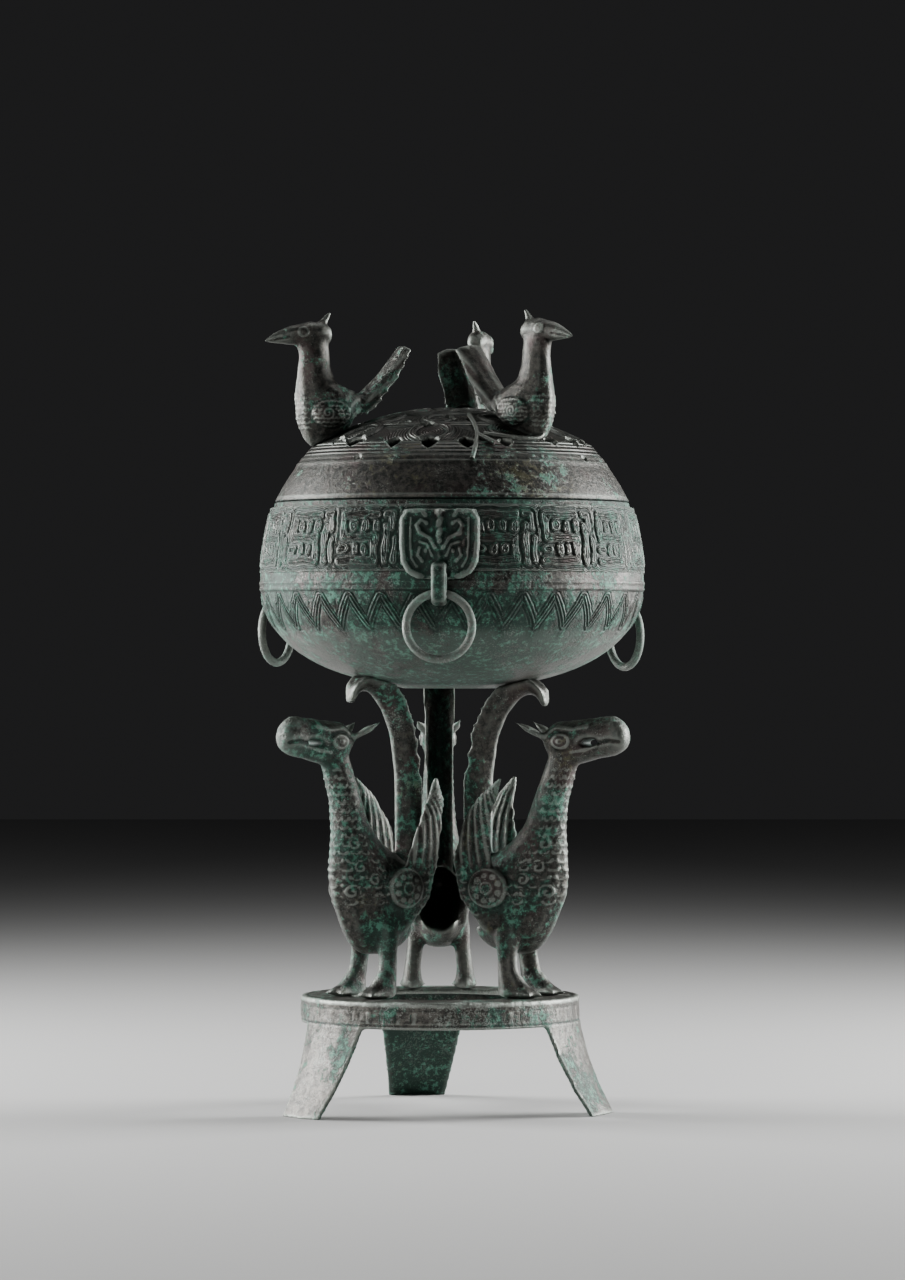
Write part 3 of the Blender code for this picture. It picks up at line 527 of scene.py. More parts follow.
def carve_bowl(piece):
    places = vertex_places(piece)
    dx, dy = places[:, 0] - bowl_axis.x, places[:, 1] - bowl_axis.y
    reach, height = np.hypot(dx, dy), places[:, 2] - bowl_axis.z
    turn = np.arctan2(dy, dx)
    outside = reach > bowl_outer_radius(height) - 0.3 * MM
    share = turn / (2.0 * math.pi) * pendant_count
    along = (share - np.round(share)) * 2.0
    relief = pendant_relief(along, height)
    relief *= (height > pendant_tip - 1.0 * MM) & (height < ridge_bottom)
    for level in (ridge_top - 0.8 * MM, ridge_bottom + 0.8 * MM):
        relief += 0.55 * bump((height - level) / MM, 0.75)
    relief += 0.25 * bump((height - (ridge_top + ridge_bottom) / 2.0) / MM, 0.9)
    grow = 1.0 + relief * outside * MM / np.maximum(reach, 1.0 * MM)
    places[:, 0] = bowl_axis.x + dx * grow
    places[:, 1] = bowl_axis.y + dy * grow
    place_vertices(piece, places)
    add_attribute(piece, "thread", pendant_thread(along, height))
    # The lower front of the bowl below the ridge is made greener and less pale through shade.
    low_front = rise((ridge_bottom - height) / (6.0 * MM)) * bump(turn + math.pi / 2.0, 0.9)
    add_attribute(piece, "shade", 0.5 * low_front)


bowl = turned("bronze_bowl", bowl_profile(), pendant_count * 24)
carve_bowl(bowl)
dress(bowl, bowl_patina, "bowl_bronze", "vessel", "bowl")

# %% [markdown]
# ## The frieze
#
# Squared dragons follow each other round the bowl as thick S-shaped bands. Each band has fine lines along its
# edge and spirals on its corners, and posts and tongues fill the space between. Deep narrow gaps part them.

# %% Frieze carving
dragon_count = 17
frieze_columns = dragon_count * 72
frieze_middle_radius = 85.0
thread_lines = 1.25
# Each band is a line through places across and up one dragon's cell, and its half width, in millimetres
dragon_bands = (
    (((21.0, 23.6), (4.2, 23.6), (4.2, 13.6), (12.0, 13.6)), 1.9),
    (((12.4, 13.6), (20.2, 13.6), (20.2, 3.4), (3.0, 3.4)), 1.9),
    (((9.4, 19.4), (9.4, 18.2)), 2.2),
    (((15.0, 20.0), (15.0, 17.2)), 1.7),
    (((20.4, 19.8), (20.4, 17.6)), 1.9),
    (((3.0, 8.6), (5.4, 8.6)), 1.8),
    (((10.6, 9.6), (10.6, 7.4)), 1.7),
    (((15.2, 9.4), (15.2, 7.6)), 1.6),
    (((25.2, 23.8), (28.4, 23.8), (28.4, 17.6)), 1.5),
    (((25.4, 18.6), (25.4, 3.0)), 1.7),
    (((29.4, 13.0), (29.4, 3.4)), 1.4),
)
# Each spiral's place across and up, its radius, and the way it turns
dragon_spirals = (
    (4.2, 21.6, 1.9, 1.0), (4.2, 15.4, 1.8, -1.0), (20.2, 11.4, 1.8, 1.0), (20.2, 5.2, 1.9, -1.0),
    (25.4, 6.0, 1.6, 1.0), (25.4, 15.8, 1.6, -1.0), (9.4, 18.8, 1.7, 1.0), (15.0, 18.6, 1.3, -1.0),
    (20.4, 18.7, 1.5, 1.0), (4.2, 8.6, 1.5, -1.0), (10.6, 8.5, 1.3, 1.0), (15.2, 8.5, 1.2, -1.0),
    (1.4, 26.0, 1.2, 1.0), (7.8, 26.2, 1.1, -1.0), (14.0, 26.2, 1.1, 1.0), (24.0, 26.0, 1.3, -1.0),
    (29.4, 1.2, 1.2, 1.0), (22.6, 1.0, 1.1, -1.0), (1.2, 11.4, 1.2, 1.0), (1.4, 18.4, 1.2, -1.0))


def band_depth(x, y):
    """How far inside the nearest band a place is, in millimetres, and below zero outside."""
    inside = np.full(x.shape, -10.0)
    for line, half_width in dragon_bands:
        inside = np.maximum(inside, half_width - to_line(x, y, line))
    return inside


def frieze_height_at(x, y):
    inside = band_depth(x, y)
    relief = 0.88 * rise((inside + 0.35) / 0.6)
    ground = 0.5 * rise((-inside - 0.95) / 0.5)
    relief = np.maximum(relief, ground)
    for across, up, radius, hand in dragon_spirals:
        relief -= 0.4 * spiral(x, y, (across, up), radius, hand=hand)
    for level in (-0.7, 27.7):
        relief = np.maximum(relief, 0.6 * bump(y - level, 0.5))
    return relief


frieze_low, frieze_high = frieze_bottom - 1.2 * MM, frieze_top + 1.2 * MM
heights = heights_between(frieze_low, frieze_high, 62)
profile = [(float(bowl_outer_radius(height)), height) for height in heights]
profile.append((float(bowl_outer_radius(frieze_high)) - 0.3 * MM, frieze_high))
profile.append((float(bowl_outer_radius(frieze_high)) - lip_step - 0.6 * MM, frieze_high))
profile.append((float(bowl_outer_radius(frieze_low)) - 1.2 * MM, frieze_low))
profile.append(profile[0])
frieze = turned("bronze_frieze", profile, frieze_columns)
places = vertex_places(frieze)
dx, dy = places[:, 0] - bowl_axis.x, places[:, 1] - bowl_axis.y
reach, height = np.hypot(dx, dy), places[:, 2] - bowl_axis.z
cell = 2.0 * math.pi / dragon_count
turn, level = np.arctan2(dy, dx), (height - frieze_bottom) / MM
hand_cut = 0.35 * np.sin(turn * 23.0 + level * 0.35) + 0.25 * np.sin(turn * 61.0 - level * 0.6)
x = np.mod(turn, cell) * frieze_middle_radius + hand_cut
y = level + 0.3 * np.sin(turn * 37.0 + level * 0.2)
relief = frieze_height_at(x, y) * (0.86 + 0.14 * np.sin(turn * 7.0 + 1.0)) * MM
outside = reach > bowl_outer_radius(height) - 0.15 * MM
relief *= outside
places[:, 0] = bowl_axis.x + dx * (1.0 + relief / reach)
places[:, 1] = bowl_axis.y + dy * (1.0 + relief / reach)
place_vertices(frieze, places)
from_edge = np.clip(np.abs(band_depth(x, y) + 0.5) - 0.5, 0.0, 9.0)
add_attribute(frieze, "thread", from_edge * outside * thread_lines)
dress(frieze, bowl_patina, "bowl_bronze", "vessel")

# %% [markdown]
# ## The lid
#
# The lid is a low dome with a smooth sloping band below and fine thread relief above, pierced by eye-shaped
# openings. The relief follows the distance to a few arcs, which gives the parallel curved threads of the real
# one. The openings are cut right through with a Boolean.

# %% Lid form
lid_wall = 2.4 * MM
lid_field_radius = 62.8 * MM
lid_band_rise = 25.2 * MM
lid_dome_rise = 17.1 * MM
lid_dome_curve = 1.9
lid_band_bulge = 0.3
lid_collar_depth = 4.0 * MM
lid_edge_radius = float(bowl_outer_radius(bowl_height)) - 1.0 * MM
collar_radius = float(bowl_outer_radius(bowl_height)) - lip_step - bowl_wall - 0.6 * MM
collar_inside = collar_radius - 2.0 * MM
lid_columns = 660


def lid_height_at(radius):
    return lid_band_rise + lid_dome_rise * (1.0 - (radius / lid_field_radius) ** lid_dome_curve)


def band_radius(height):
    left = 1.0 - height / lid_band_rise
    bulging = left + lid_band_bulge * left * (1.0 - left)
    return lid_field_radius + (lid_edge_radius - lid_field_radius) * bulging


lift = lid_axis.z - bowl_axis.z
profile = [(collar_inside, -lid_collar_depth), (collar_radius, -lid_collar_depth), (collar_radius, 0.0)]
profile += [(lid_edge_radius - 0.4 * MM, 0.0), (lid_edge_radius, 0.4 * MM)]
profile += [(band_radius(height), height) for height in heights_between(2.0 * MM, lid_band_rise, 28)]
radii = heights_between(lid_field_radius, 3.0 * MM, 96)
profile += [(radius, lid_height_at(radius)) for radius in radii]
profile.append((0.0, lid_band_rise + lid_dome_rise))
profile.append((0.0, lid_band_rise + lid_dome_rise - lid_wall))
for share in (0.35, 0.6, 0.8, 0.92):
    radius = lid_field_radius * share
    profile.append((radius, lid_height_at(radius) - lid_wall))
profile.append((lid_field_radius - lid_wall, lid_band_rise - lid_wall))
profile.append((band_radius(12.0 * MM) - lid_wall, 12.0 * MM))
profile.append((collar_inside, 2.0 * MM))
profile.append(profile[0])
lid = turned("bronze_lid", [(radius, height + lift) for radius, height in profile], lid_columns)

# %% Lid carving
sector = math.radians(40.0)
thread_pitch = 1.25
lid_arcs = ((53.0, 8.5), (36.0, 5.5), (20.0, 4.5))
lid_circles = (44.5, 28.0)
lid_borders = (69.6, 67.9)
border_thread_start, border_thread_middle, border_thread_end = 62.0, 64.4, 67.0


def lid_nearest(x, y):
    """Distance to the nearest of two full circles and the arcs that repeat nine times round the lid."""
    reach, turn = np.hypot(x, y), np.arctan2(y, x)
    inner_turn = np.mod(turn, sector) - sector / 2.0
    px, py = reach * np.cos(inner_turn), reach * np.sin(inner_turn)
    nearest = np.minimum(*(np.abs(reach - circle) for circle in lid_circles))
    for centre, radius in lid_arcs:
        nearest = np.minimum(nearest, np.abs(np.hypot(px - centre, py) - radius))
    return nearest


def lid_relief(x, y, nearest):
    reach = np.hypot(x, y)
    relief = 0.8 * rise((61.5 - reach) / 0.8) * rise((1.9 - nearest) / 0.6)
    for border in lid_borders:
        relief = np.maximum(relief, 0.4 * bump(reach - border, 0.5))
    return relief


places, normals = vertex_places(lid), vertex_normals(lid)
dx, dy = places[:, 0] - bowl_axis.x, places[:, 1] - bowl_axis.y
reach, height = np.hypot(dx, dy), places[:, 2] - lid_axis.z
top_side = (normals[:, 2] > 0.15) & (height > 8.0 * MM)
nearest = lid_nearest(dx / MM, dy / MM)
relief = lid_relief(dx / MM, dy / MM, nearest) * top_side * MM
place_vertices(lid, places + normals * relief[:, None])
from_border = np.where(reach < border_thread_start * MM, nearest, np.abs(reach / MM - border_thread_middle))
in_threads = top_side * (reach < border_thread_end * MM)
add_attribute(lid, "thread", (from_border / thread_pitch + 0.5) * in_threads)
print("lid top", (vertex_places(lid)[:, 2].max() - lid_high.z) / MM, "mm past the solid")

# %% [markdown]
# The openings are seen in front as a row of eyes with smaller ones above and round holes in the border. The
# hidden back is given the same openings mirrored, except where a bird stands.

# %% Lid openings
# Bearing and radius on the lid, length and width of the eye
front_openings = (
    (225.5, 60.5, 12.0, 7.5), (245.8, 61.5, 7.5, 7.0), (260.6, 61.5, 9.0, 7.5), (276.1, 61.5, 9.0, 7.5),
    (239.2, 41.0, 7.0, 7.0), (255.8, 45.0, 7.0, 6.0), (268.0, 36.0, 6.0, 7.0), (284.0, 38.0, 6.5, 7.0),
    (292.0, 62.0, 7.5, 5.5), (315.8, 60.5, 7.5, 6.5), (331.0, 61.0, 8.0, 6.5), (340.0, 60.5, 7.0, 6.0),
    (232.6, 68.3, 4.4, 2.6), (329.3, 68.3, 4.4, 2.6), (213.0, 60.0, 9.0, 6.0))
bird_bearings = (194.0, 314.0, 74.0)
bird_clear_angle = 15.0
cutter_height = 30.0 * MM


def by_a_bird(bearing):
    away = min(abs((bearing - bird + 180.0) % 360.0 - 180.0) for bird in bird_bearings)
    return away < bird_clear_angle


def eye_cutter(bearing, radius, length, width):
    """An upright prism with an eye-shaped outline, pulled to points at both ends."""
    clear_selection()
    bpy.ops.mesh.primitive_cylinder_add(vertices=16, radius=0.5, depth=cutter_height)
    cutter = bpy.context.object
    turn = math.radians(bearing)
    cutter.scale = (width * MM, length * MM, 1.0)
    cutter.rotation_euler = (0.0, 0.0, turn)
    middle = lid_axis.z + lid_height_at(min(radius * MM, lid_field_radius))
    across, deep = radius * MM * math.cos(turn), radius * MM * math.sin(turn)
    cutter.location = (bowl_axis.x + across, bowl_axis.y + deep, middle)
    places = vertex_places(cutter)
    places[:, 0] *= 1.0 - 0.75 * np.abs(places[:, 1])
    place_vertices(cutter, places)
    apply_place(cutter)
    return cutter


cutters = []
for bearing, radius, length, width in front_openings:
    cutters.append(eye_cutter(bearing, radius, length, width))
    if not by_a_bird(-bearing % 360.0):
        cutters.append(eye_cutter(-bearing % 360.0, radius, length, width))
group = bpy.data.collections.new("lid_cutters")
for cutter in cutters:
    group.objects.link(cutter)
apply_modifier(lid, "BOOLEAN", operation="DIFFERENCE", solver="MANIFOLD", operand_type="COLLECTION",
               collection=group)
for cutter in cutters:
    bpy.data.objects.remove(cutter, do_unlink=True)
bpy.data.collections.remove(group)
dress(lid, lid_patina, "lid_bronze", "vessel", "lid")

# %% [markdown]
# A thin strap like a serpent's body is cast on the front of the lid, with a forked end below it and a bar
# that runs to the foot of a bird. Each stretch is a path given a round section, which is the quickest way to
# make a strap that follows a curved surface.

# %% Lid strap
strap_radius = 1.05 * MM
# Points from the lid's axis: to the right, outward to the front, and up from the lid's edge, in millimetres
strap_runs = (
    ((7.6, 32.6, 38.2), (9.6, 44.0, 34.6), (11.0, 53.0, 31.0), (11.5, 59.6, 27.2), (10.0, 66.0, 22.0),
     (8.8, 69.6, 17.4)),
    ((11.3, 57.5, 28.6), (15.5, 61.0, 26.4), (19.0, 62.5, 24.6)),
    ((14.0, 54.5, 29.0), (20.2, 55.6, 28.0), (30.0, 53.0, 27.0), (39.2, 48.6, 26.6), (40.0, 46.5, 29.0)),
)
for number, run in enumerate(strap_runs):
    curve = bpy.data.curves.new("strap_run", "CURVE")
    curve.dimensions = "3D"
    curve.bevel_depth = strap_radius
    curve.bevel_resolution = 3
    curve.use_fill_caps = True
    path = curve.splines.new("NURBS")
    path.points.add(len(run) - 1)
    for point, (right, front, high) in zip(path.points, run):
        place = lid_axis + Vector((right, -front, high)) * MM
        point.co = (place.x, place.y, place.z, 1.0)
    path.use_endpoint_u = True
    strap = bpy.data.objects.new("bronze_strap_%d" % (number + 1), curve)
    bpy.context.scene.collection.objects.link(strap)
    choose(strap)
    bpy.ops.object.convert(target="MESH")
    dress(strap, lid_patina, "lid_bronze", "vessel")

# %% [markdown]
# ## Figures
#
# The birds and beasts are freely modelled castings. Their solids have the pose and the main forms in few
# faces. A voxel remesh turns such a form into an even fine skin, smoothing rounds it as wax would be, and the
# feathers and scales are then raised on it in the figure's own directions.

# %% Figure helpers
closing_rounds = 4


def fine_skin(piece, voxel, rounds, most):
    """A fine skin rounded by smoothing that gives back what it shrinks and moves no vertex past most."""
    apply_modifier(piece, "REMESH", mode="VOXEL", voxel_size=voxel)
    before, ends = vertex_places(piece), edge_ends(piece)
    places = smoothed(before, ends, rounds)
    move = places + smoothed(before - places, ends, rounds) - before
    length = np.maximum(np.linalg.norm(move, axis=1), 1e-9)
    places = before + move * np.minimum(1.0, most / length)[:, None]
    places = smoothed(places, ends, closing_rounds)
    places[:, 2] = np.maximum(places[:, 2], 0.0)
    place_vertices(piece, places)


def own_places(piece, origin, heading, stretch, unit):
    """The vertices seen from the figure: ahead, to the side and up, in hundredths of its height."""
    places = vertex_places(piece) - np.array(origin)
    turn = math.radians(heading)
    ahead = (places[:, 0] * math.cos(turn) + places[:, 1] * math.sin(turn)) / stretch
    side = -places[:, 0] * math.sin(turn) + places[:, 1] * math.cos(turn)
    return ahead / unit, side / unit, places[:, 2] / unit


def raise_relief(piece, relief):
    """Move each vertex out along its normal by a height in millimetres."""
    places = vertex_places(piece) + vertex_normals(piece) * (relief * MM)[:, None]
    place_vertices(piece, places)


def scales(across, up, width, height):
    """Overlapping crescents in rows, each row shifted by half a scale."""
    row = np.floor(up / height)
    dx = (np.mod(across / width + 0.5 * np.mod(row, 2.0), 1.0) - 0.5) * width
    dy = (up / height - row - 0.62) * height
    reach = np.hypot(dx, dy * 1.15)
    return bump(reach - width * 0.36, width * 0.11) * rise((0.25 * height - dy) / (0.3 * height))


# %% [markdown]
# ### The three winged beasts
#
# Crescent scales run down the neck and chest, feathers follow the sweep of each wing up to its tip, and a
# roundel with a ring of beads covers the wing's root. Places are ahead and up in hundredths of the height.

# %% Beasts
beast_unit = (bowl_low.z - base_high.z) / 100.0
beast_voxel, beast_rounds, beast_most = 0.84 * MM, 30, 0.6 * MM
roundel_ahead, roundel_up = 20.9, 35.5
# Each curl on the chest: its place ahead and up, and its radius
beast_curls = ((38.5, 34.5, 2.7), (36.0, 42.5, 2.3), (37.5, 50.0, 2.1), (31.5, 38.5, 2.2))
# Each beast's heading in degrees, and how far it is drawn out ahead
beast_poses = {"beast_left": (215.0, 1.0), "beast_right": (334.5, 1.07), "beast_back": (91.0, 1.03)}
spine_heights = (21.0, 26.3, 33.0, 40.0, 44.5, 50.0, 56.0, 64.0, 72.0, 78.5)
spine_ahead = (24.7, 25.1, 26.2, 27.3, 29.2, 33.2, 35.5, 37.3, 39.8, 41.7)
wing_heights = (21.0, 27.8, 34.0, 41.0, 50.0, 58.5, 65.5, 71.3)
wing_ahead = (20.0, 17.8, 16.2, 15.4, 15.0, 15.6, 17.4, 20.4)
wing_half_chord = (2.0, 5.0, 7.0, 7.2, 6.5, 5.0, 3.2, 1.2)


def beast_relief(ahead, side, up):
    out = np.abs(side)
    spine = np.interp(up, spine_heights, spine_ahead)
    around = np.arctan2(side, ahead - spine) * 8.0
    wing = rise((out - 8.6) / 0.8) * rise((up - 24.0) / 3.0) * rise((27.0 - ahead) / 1.5)
    round_edge = np.hypot(ahead - roundel_ahead, up - roundel_up)
    roundel = rise((out - 9.6) / 0.6) * rise((6.9 - round_edge) / 0.5)
    body = (1.0 - wing) * rise((up - 28.0) / 5.0) * rise((77.0 - up) / 6.0)
    body = body * rise((ahead - spine + 1.5) / 2.5) * rise((11.0 - out) / 1.0)
    uneven = 0.55 + 0.45 * np.sin(around * 0.9 + up * 0.23) * np.sin(up * 0.31 + 1.0)
    relief = body * uneven * 0.62 * scales(around, up, 3.1, 2.7)
    for centre_ahead, centre_up, radius in beast_curls:
        curl = spiral(ahead, up, (centre_ahead, centre_up), radius, pitch=1.6)
        relief = np.where(body * curl > 0.0, body * 0.55 * curl, relief)
    chord = np.interp(up, wing_heights, wing_half_chord)
    across = (ahead - np.interp(up, wing_heights, wing_ahead)) / chord
    feathers = 0.5 + 0.5 * np.cos(2.0 * math.pi * across * 2.4)
    covert = scales(across * 5.0, up, 3.2, 2.6) * rise((46.0 - up) / 8.0) * rise((0.1 - across) / 0.4)
    relief += wing * (1.0 - roundel) * (0.42 * feathers * rise((up - 38.0) / 8.0) + 0.4 * covert)
    round_turn = np.arctan2(up - roundel_up, ahead - roundel_ahead) / (2.0 * math.pi)
    from_bead = np.mod(round_turn * 9.0, 1.0) - 0.5
    beads = np.hypot(round_edge - 4.0, from_bead * 2.8)
    relief += roundel * (0.35 * bump(round_edge - 6.0, 0.5) + 0.3 * bump(round_edge - 1.9, 0.5))
    relief += roundel * (0.3 * bump(beads - 0.6, 0.45) - 0.2 * bump(round_edge, 0.7))
    head = rise((up - 76.0) / 2.0) * rise((ahead - 34.0) / 2.0)
    eye = np.hypot(ahead - 42.6, (up - 83.0) * 1.25)
    relief += head * rise((out - 3.4) / 0.8) * (0.55 * bump(eye - 2.7, 0.6) - 0.3 * bump(eye, 0.6))
    brow = to_line(ahead, up, ((37.0, 84.6), (41.0, 87.4), (46.5, 86.8), (50.5, 87.8)))
    cheek = to_line(ahead, up, ((46.0, 79.6), (50.0, 80.2), (53.5, 82.0)))
    relief += head * (0.6 * bump(brow, 0.8) + 0.35 * bump(cheek, 0.6))
    lip = to_line(ahead, up, ((54.5, 82.6), (58.0, 83.4), (61.0, 83.0)))
    return relief - 0.45 * head * bump(lip, 0.6)


for node, (heading, stretch) in beast_poses.items():
    beast = solid_copy(node, "bronze_" + node)
    fine_skin(beast, beast_voxel, beast_rounds, beast_most)
    raise_relief(beast, beast_relief(*own_places(beast, stand_axis, heading, stretch, beast_unit)))
    dress(beast, beast_patina, "beast_bronze", "vessel", node)

# %% [markdown]
# ### The three birds
#
# Each bird has an oval scaled wing with a spiral in it, long feather ridges that run back to the tail, and a
# smooth neck.

# %% Birds
bird_height = 60.5 * MM
bird_unit = bird_height / 100.0
bird_voxel, bird_rounds, bird_most = 0.7 * MM, 20, 0.4 * MM
bird_radius, bird_shift, bird_rise = 52.0 * MM, -4.0 * MM, 25.3 * MM


def bird_relief(ahead, side, up):
    out = np.abs(side)
    oval = np.hypot((ahead - 3.0) / 13.5, (up - 23.0) / 9.5)
    wing = rise((out - 12.0) / 1.5) * rise((1.15 - oval) / 0.12)
    relief = wing * (0.3 * bump((oval - 0.98) * 11.0, 1.1) + 0.4 * scales(ahead, up, 3.4, 3.0))
    curl = spiral(ahead, up, (6.0, 23.0), 5.2, pitch=2.6)
    relief = np.where(wing * curl > 0.0, wing * 0.45 * curl, relief)
    breast = rise((ahead - 14.0) / 4.0) * rise((40.0 - up) / 8.0) * rise((up - 8.0) / 4.0)
    relief += breast * (1.0 - wing) * 0.2 * scales(np.arctan2(side, ahead) * 22.0, up, 4.0, 3.6)
    back = rise((-6.0 - ahead) / 6.0) * rise((up - 16.0) / 4.0)
    line = up * 0.74 + ahead * 0.67
    relief += back * rise((out - 4.0) / 3.0) * 0.3 * (0.5 + 0.5 * np.cos(2.0 * math.pi * line / 6.4))
    head = rise((up - 74.0) / 3.0)
    eye = np.hypot(ahead - 22.0, up - 83.2)
    relief += head * rise((out - 5.0) / 1.5) * (0.25 * bump(eye - 3.4, 0.9) - 0.15 * bump(eye, 1.0))
    beak = to_line(ahead, up, ((33.0, 79.2), (42.0, 77.4), (49.0, 75.6)))
    return relief - head * rise((out - 0.8) / 0.6) * 0.3 * bump(beak, 0.6)


for node, heading in zip(("bird_left", "bird_right", "bird_back"), bird_bearings):
    turn = math.radians(heading)
    feet = Vector((bird_shift + bird_radius * math.cos(turn), bird_radius * math.sin(turn), bird_rise))
    bird = solid_copy(node, "bronze_" + node)
    fine_skin(bird, bird_voxel, bird_rounds, bird_most)
    raise_relief(bird, bird_relief(*own_places(bird, lid_axis + feet, heading, 1.0, bird_unit)))
    dress(bird, bird_patina, "bird_bronze", "vessel", node)

# %% [markdown]
# ## Mask lugs
#
# A mask is a shield with a thick C-shaped horn down each side, brows over round eyes and a ridge that becomes
# the strap. Again the solid is given a fine skin, and the face is drawn on it as raised lines.

# %% Masks
mask_height = 31.0
mask_voxel, mask_rounds, mask_most = 0.58 * MM, 8, 0.4 * MM
# Each mask's bearing in degrees, and how far it hangs below the place under the lip
mask_places = {"mask_front": (266.4, 0.0), "mask_left": (153.5, 2.0), "mask_right": (28.0, 4.0)}
mask_top = bowl_height / MM - 4.4


def mask_relief(across, up, drop):
    """Lines of the face, from the mask's middle and its top, in millimetres."""
    fall = (mask_top - drop - up) / mask_height
    side = np.abs(across)
    horn = ((6.4, 0.1), (8.0, 0.04), (13.6, 0.05), (15.8, 0.16), (15.9, 0.5), (15.2, 0.74), (12.8, 0.88),
            (8.5, 0.95))
    rim = ((12.6, 0.12), (12.8, 0.5), (12.2, 0.7), (10.0, 0.82))
    brow = ((1.8, 0.54), (4.4, 0.42), (8.6, 0.34), (9.8, 0.24), (8.0, 0.17), (6.0, 0.2))
    lash = ((3.2, 0.66), (5.2, 0.5), (8.4, 0.47))
    cheek = ((8.6, 0.56), (9.4, 0.66), (7.4, 0.74))
    face = fall * mask_height
    relief = np.zeros(across.shape)
    drawings = ((horn, 1.7, 1.7), (rim, 0.7, 0.9), (brow, 1.4, 1.5), (lash, 0.75, 1.1), (cheek, 0.9, 1.0))
    for line, half_width, height in drawings:
        drawn = [(x, y * mask_height) for x, y in line]
        relief = np.maximum(relief, height * bump(to_line(side, face, drawn), half_width))
    eye = np.hypot(side - 5.8, face - 18.6)
    relief = np.maximum(relief, 1.1 * bump(eye, 1.2))
    crest = 1.35 + 0.3 * np.sin(face * 1.3 + across * 0.8)
    relief = np.maximum(relief, crest * bump(side, 2.0 - 0.7 * fall) * rise((0.56 - fall) / 0.1))
    pits = 0.35 * np.sin(across * 1.1 + 0.4) * np.sin(face * 0.9 + across * 0.3)
    relief += np.where(relief < 0.35, np.minimum(pits, 0.1), 0.0)
    return relief * rise((fall + 0.02) / 0.05) * rise((1.02 - fall) / 0.06)


for node, (bearing, drop) in mask_places.items():
    mask = solid_copy(node, "bronze_" + node)
    fine_skin(mask, mask_voxel, mask_rounds, mask_most)
    out, across, up = own_places(mask, bowl_axis, bearing, 1.0, MM)
    normals = vertex_normals(mask)
    turn = math.radians(bearing)
    facing = normals[:, 0] * math.cos(turn) + normals[:, 1] * math.sin(turn)
    on_plate = (facing > 0.35) * rise((bowl_outer_radius(up * MM) / MM + 4.8 - np.hypot(out, across)) / 1.0)
    raise_relief(mask, (mask_relief(across, up, drop) - 0.45) * on_plate)
    dress(mask, mask_patina, "mask_bronze", "vessel", node)

# %% [markdown]
# ## Drop rings
#
# Each ring is round wire, so a torus already has its section. It is set in the plane of its solid and made
# slightly uneven, as cast and hammered wire is.

# %% Rings
ring_radius, ring_wire_radius = 14.3 * MM, 1.85 * MM
for joint in frame["joints"]:
    place = joint["name"].replace("ring_", "").replace("_swing", "")
    pivot, axis = Vector(joint["pos_m"]), Vector(joint["axis"])
    outward = Vector((-axis.y, axis.x, 0.0))
    clear_selection()
    bpy.ops.mesh.primitive_torus_add(major_segments=120, minor_segments=20, major_radius=ring_radius,
                                     minor_radius=ring_wire_radius)
    ring = bpy.context.object
    ring.name = "bronze_ring_" + place
    ring.rotation_euler = outward.to_track_quat("Z", "Y").to_euler()
    ring.location = pivot - Vector((0.0, 0.0, ring_radius))
    apply_place(ring)
    places = vertex_places(ring)
    uneven = 0.06 * np.sin(places[:, 2] / MM * 1.1 + places[:, 0] / MM * 0.7)
    raise_relief(ring, -np.abs(uneven))
    dress(ring, mask_patina, "ring_bronze", joint["child"], "ring_" + place)

# %% [markdown]
# ## The base
#
# The base is a flat ring with a low band round it and three curved plates as legs. A band of squared hooks
# runs round it between two lines.

# %% Base
base_radius = 62.8
band_top, band_bottom = 51.8, 39.5
hook_count = 54
base_voxel, base_rounds, base_most = 0.97 * MM, 3, 0.3 * MM
base = solid_copy("base_stand", "bronze_base")
fine_skin(base, base_voxel, base_rounds, base_most)
ahead, side, up = own_places(base, Vector((stand_axis.x, stand_axis.y, 0.0)), 0.0, 1.0, MM)
reach = np.hypot(ahead, side)
turn = np.arctan2(side, ahead)
normals = vertex_normals(base)
facing = (normals[:, 0] * ahead + normals[:, 1] * side) / np.maximum(reach, 1.0)
pitch = 2.0 * math.pi * base_radius / hook_count
x = np.mod(turn / (2.0 * math.pi) * hook_count, 1.0) * pitch
hook = ((0.9, 42.8), (5.4, 42.8), (5.4, 46.6), (1.8, 46.6), (1.8, 44.8), (3.6, 44.8))
worn = 0.6 + 0.4 * np.sin(turn * 5.0 + 0.7) * np.sin(turn * 11.0)
relief = -0.42 * worn * bump(to_line(x, up, hook), 0.5)
for level in (41.2, 48.4):
    relief = np.minimum(relief, -0.4 * bump(up - level, 0.5))
on_band = (facing > 0.6) * (reach > base_radius - 1.4) * (up > band_bottom) * (up < band_top)
on_top = (normals[:, 2] > 0.6) * (up > band_top - 1.2) * bump(reach - base_radius + 3.4, 0.8)
raise_relief(base, relief * on_band - 0.4 * on_top)
# Painted shadow: the back leg, away from the lights, is made darker and greener through shade. The cut sides
# of the legs are made darker and greener as well.
back_leg_shadow = rise((side - 20.0) / 8.0) * rise((band_bottom + 2.0 - up) / 3.0)
cut_sides = (np.abs(facing) < 0.45) * (up < band_bottom) * 1.0
add_attribute(base, "shade", np.maximum(back_leg_shadow, cut_sides))
dress(base, base_patina, "base_bronze", "vessel", "base_stand")

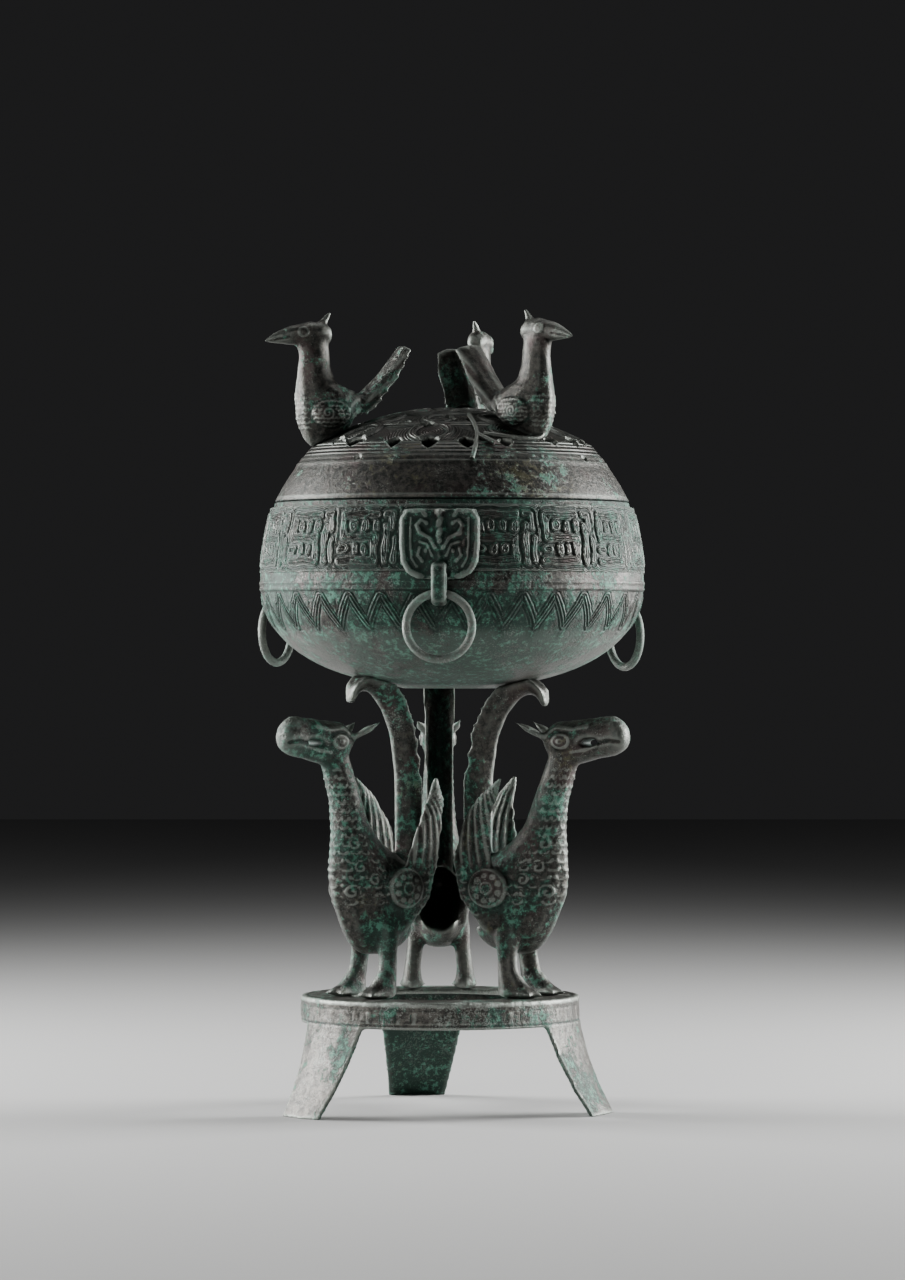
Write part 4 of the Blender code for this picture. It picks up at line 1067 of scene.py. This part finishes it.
# %% [markdown]
# ## Camera, floor and light
#
# The photograph was taken from far away, which keeps the sides almost parallel, and from a little above the
# bowl's underside. Two large soft lights stand to the sides, as the pale rims in the photograph show, and
# weak ones in front and above let the dark metal be read.

# %% Camera
camera_distance, camera_height, camera_shift = 2475.0 * MM, 211.05 * MM, 0.225 * MM
camera_data = bpy.data.cameras.new("camera")
camera_data.sensor_fit = "VERTICAL"
camera_data.sensor_height = 36.0
camera_data.lens = 154.69
camera = bpy.data.objects.new("camera", camera_data)
bpy.context.scene.collection.objects.link(camera)
camera.location = (bowl_axis.x + camera_shift, stand_axis.y - camera_distance, camera_height)
camera.rotation_euler = (math.radians(90.0), 0.0, 0.0)
bpy.context.scene.camera = camera

# %% Floor
clear_selection()
bpy.ops.mesh.primitive_plane_add(size=8.0, location=(0.0, 0.0, 0.0))
floor = bpy.context.object
floor.name = "floor"
floor_material = bpy.data.materials.new("pale_floor")
floor_material.use_nodes = True
floor_shader = floor_material.node_tree.nodes["Principled BSDF"]
floor_shader.inputs["Base Color"].default_value = (0.42, 0.42, 0.415, 1.0)
floor_shader.inputs["Roughness"].default_value = 0.7
floor.data.materials.append(floor_material)

# %% Lights
def soft_light(name, place, size, power):
    data = bpy.data.lights.new(name, "AREA")
    data.size = size
    data.energy = power
    light = bpy.data.objects.new(name, data)
    bpy.context.scene.collection.objects.link(light)
    light.location = place
    aim = Vector((0.0, 0.0, 0.2)) - Vector(place)
    light.rotation_euler = aim.to_track_quat("-Z", "Y").to_euler()


soft_light("left_light", (-0.95, 0.3, 0.42), 0.6, 34.0)
soft_light("right_light", (0.95, 0.3, 0.42), 0.6, 38.0)
soft_light("front_light", (-0.7, -1.5, 0.8), 0.6, 9.0)
soft_light("top_light", (0.1, 0.3, 1.2), 0.5, 3.0)
world = bpy.data.worlds.new("studio")
bpy.context.scene.world = world
world.use_nodes = True
world.node_tree.nodes["Background"].inputs["Color"].default_value = (0.3, 0.3, 0.31, 1.0)
world.node_tree.nodes["Background"].inputs["Strength"].default_value = 0.05
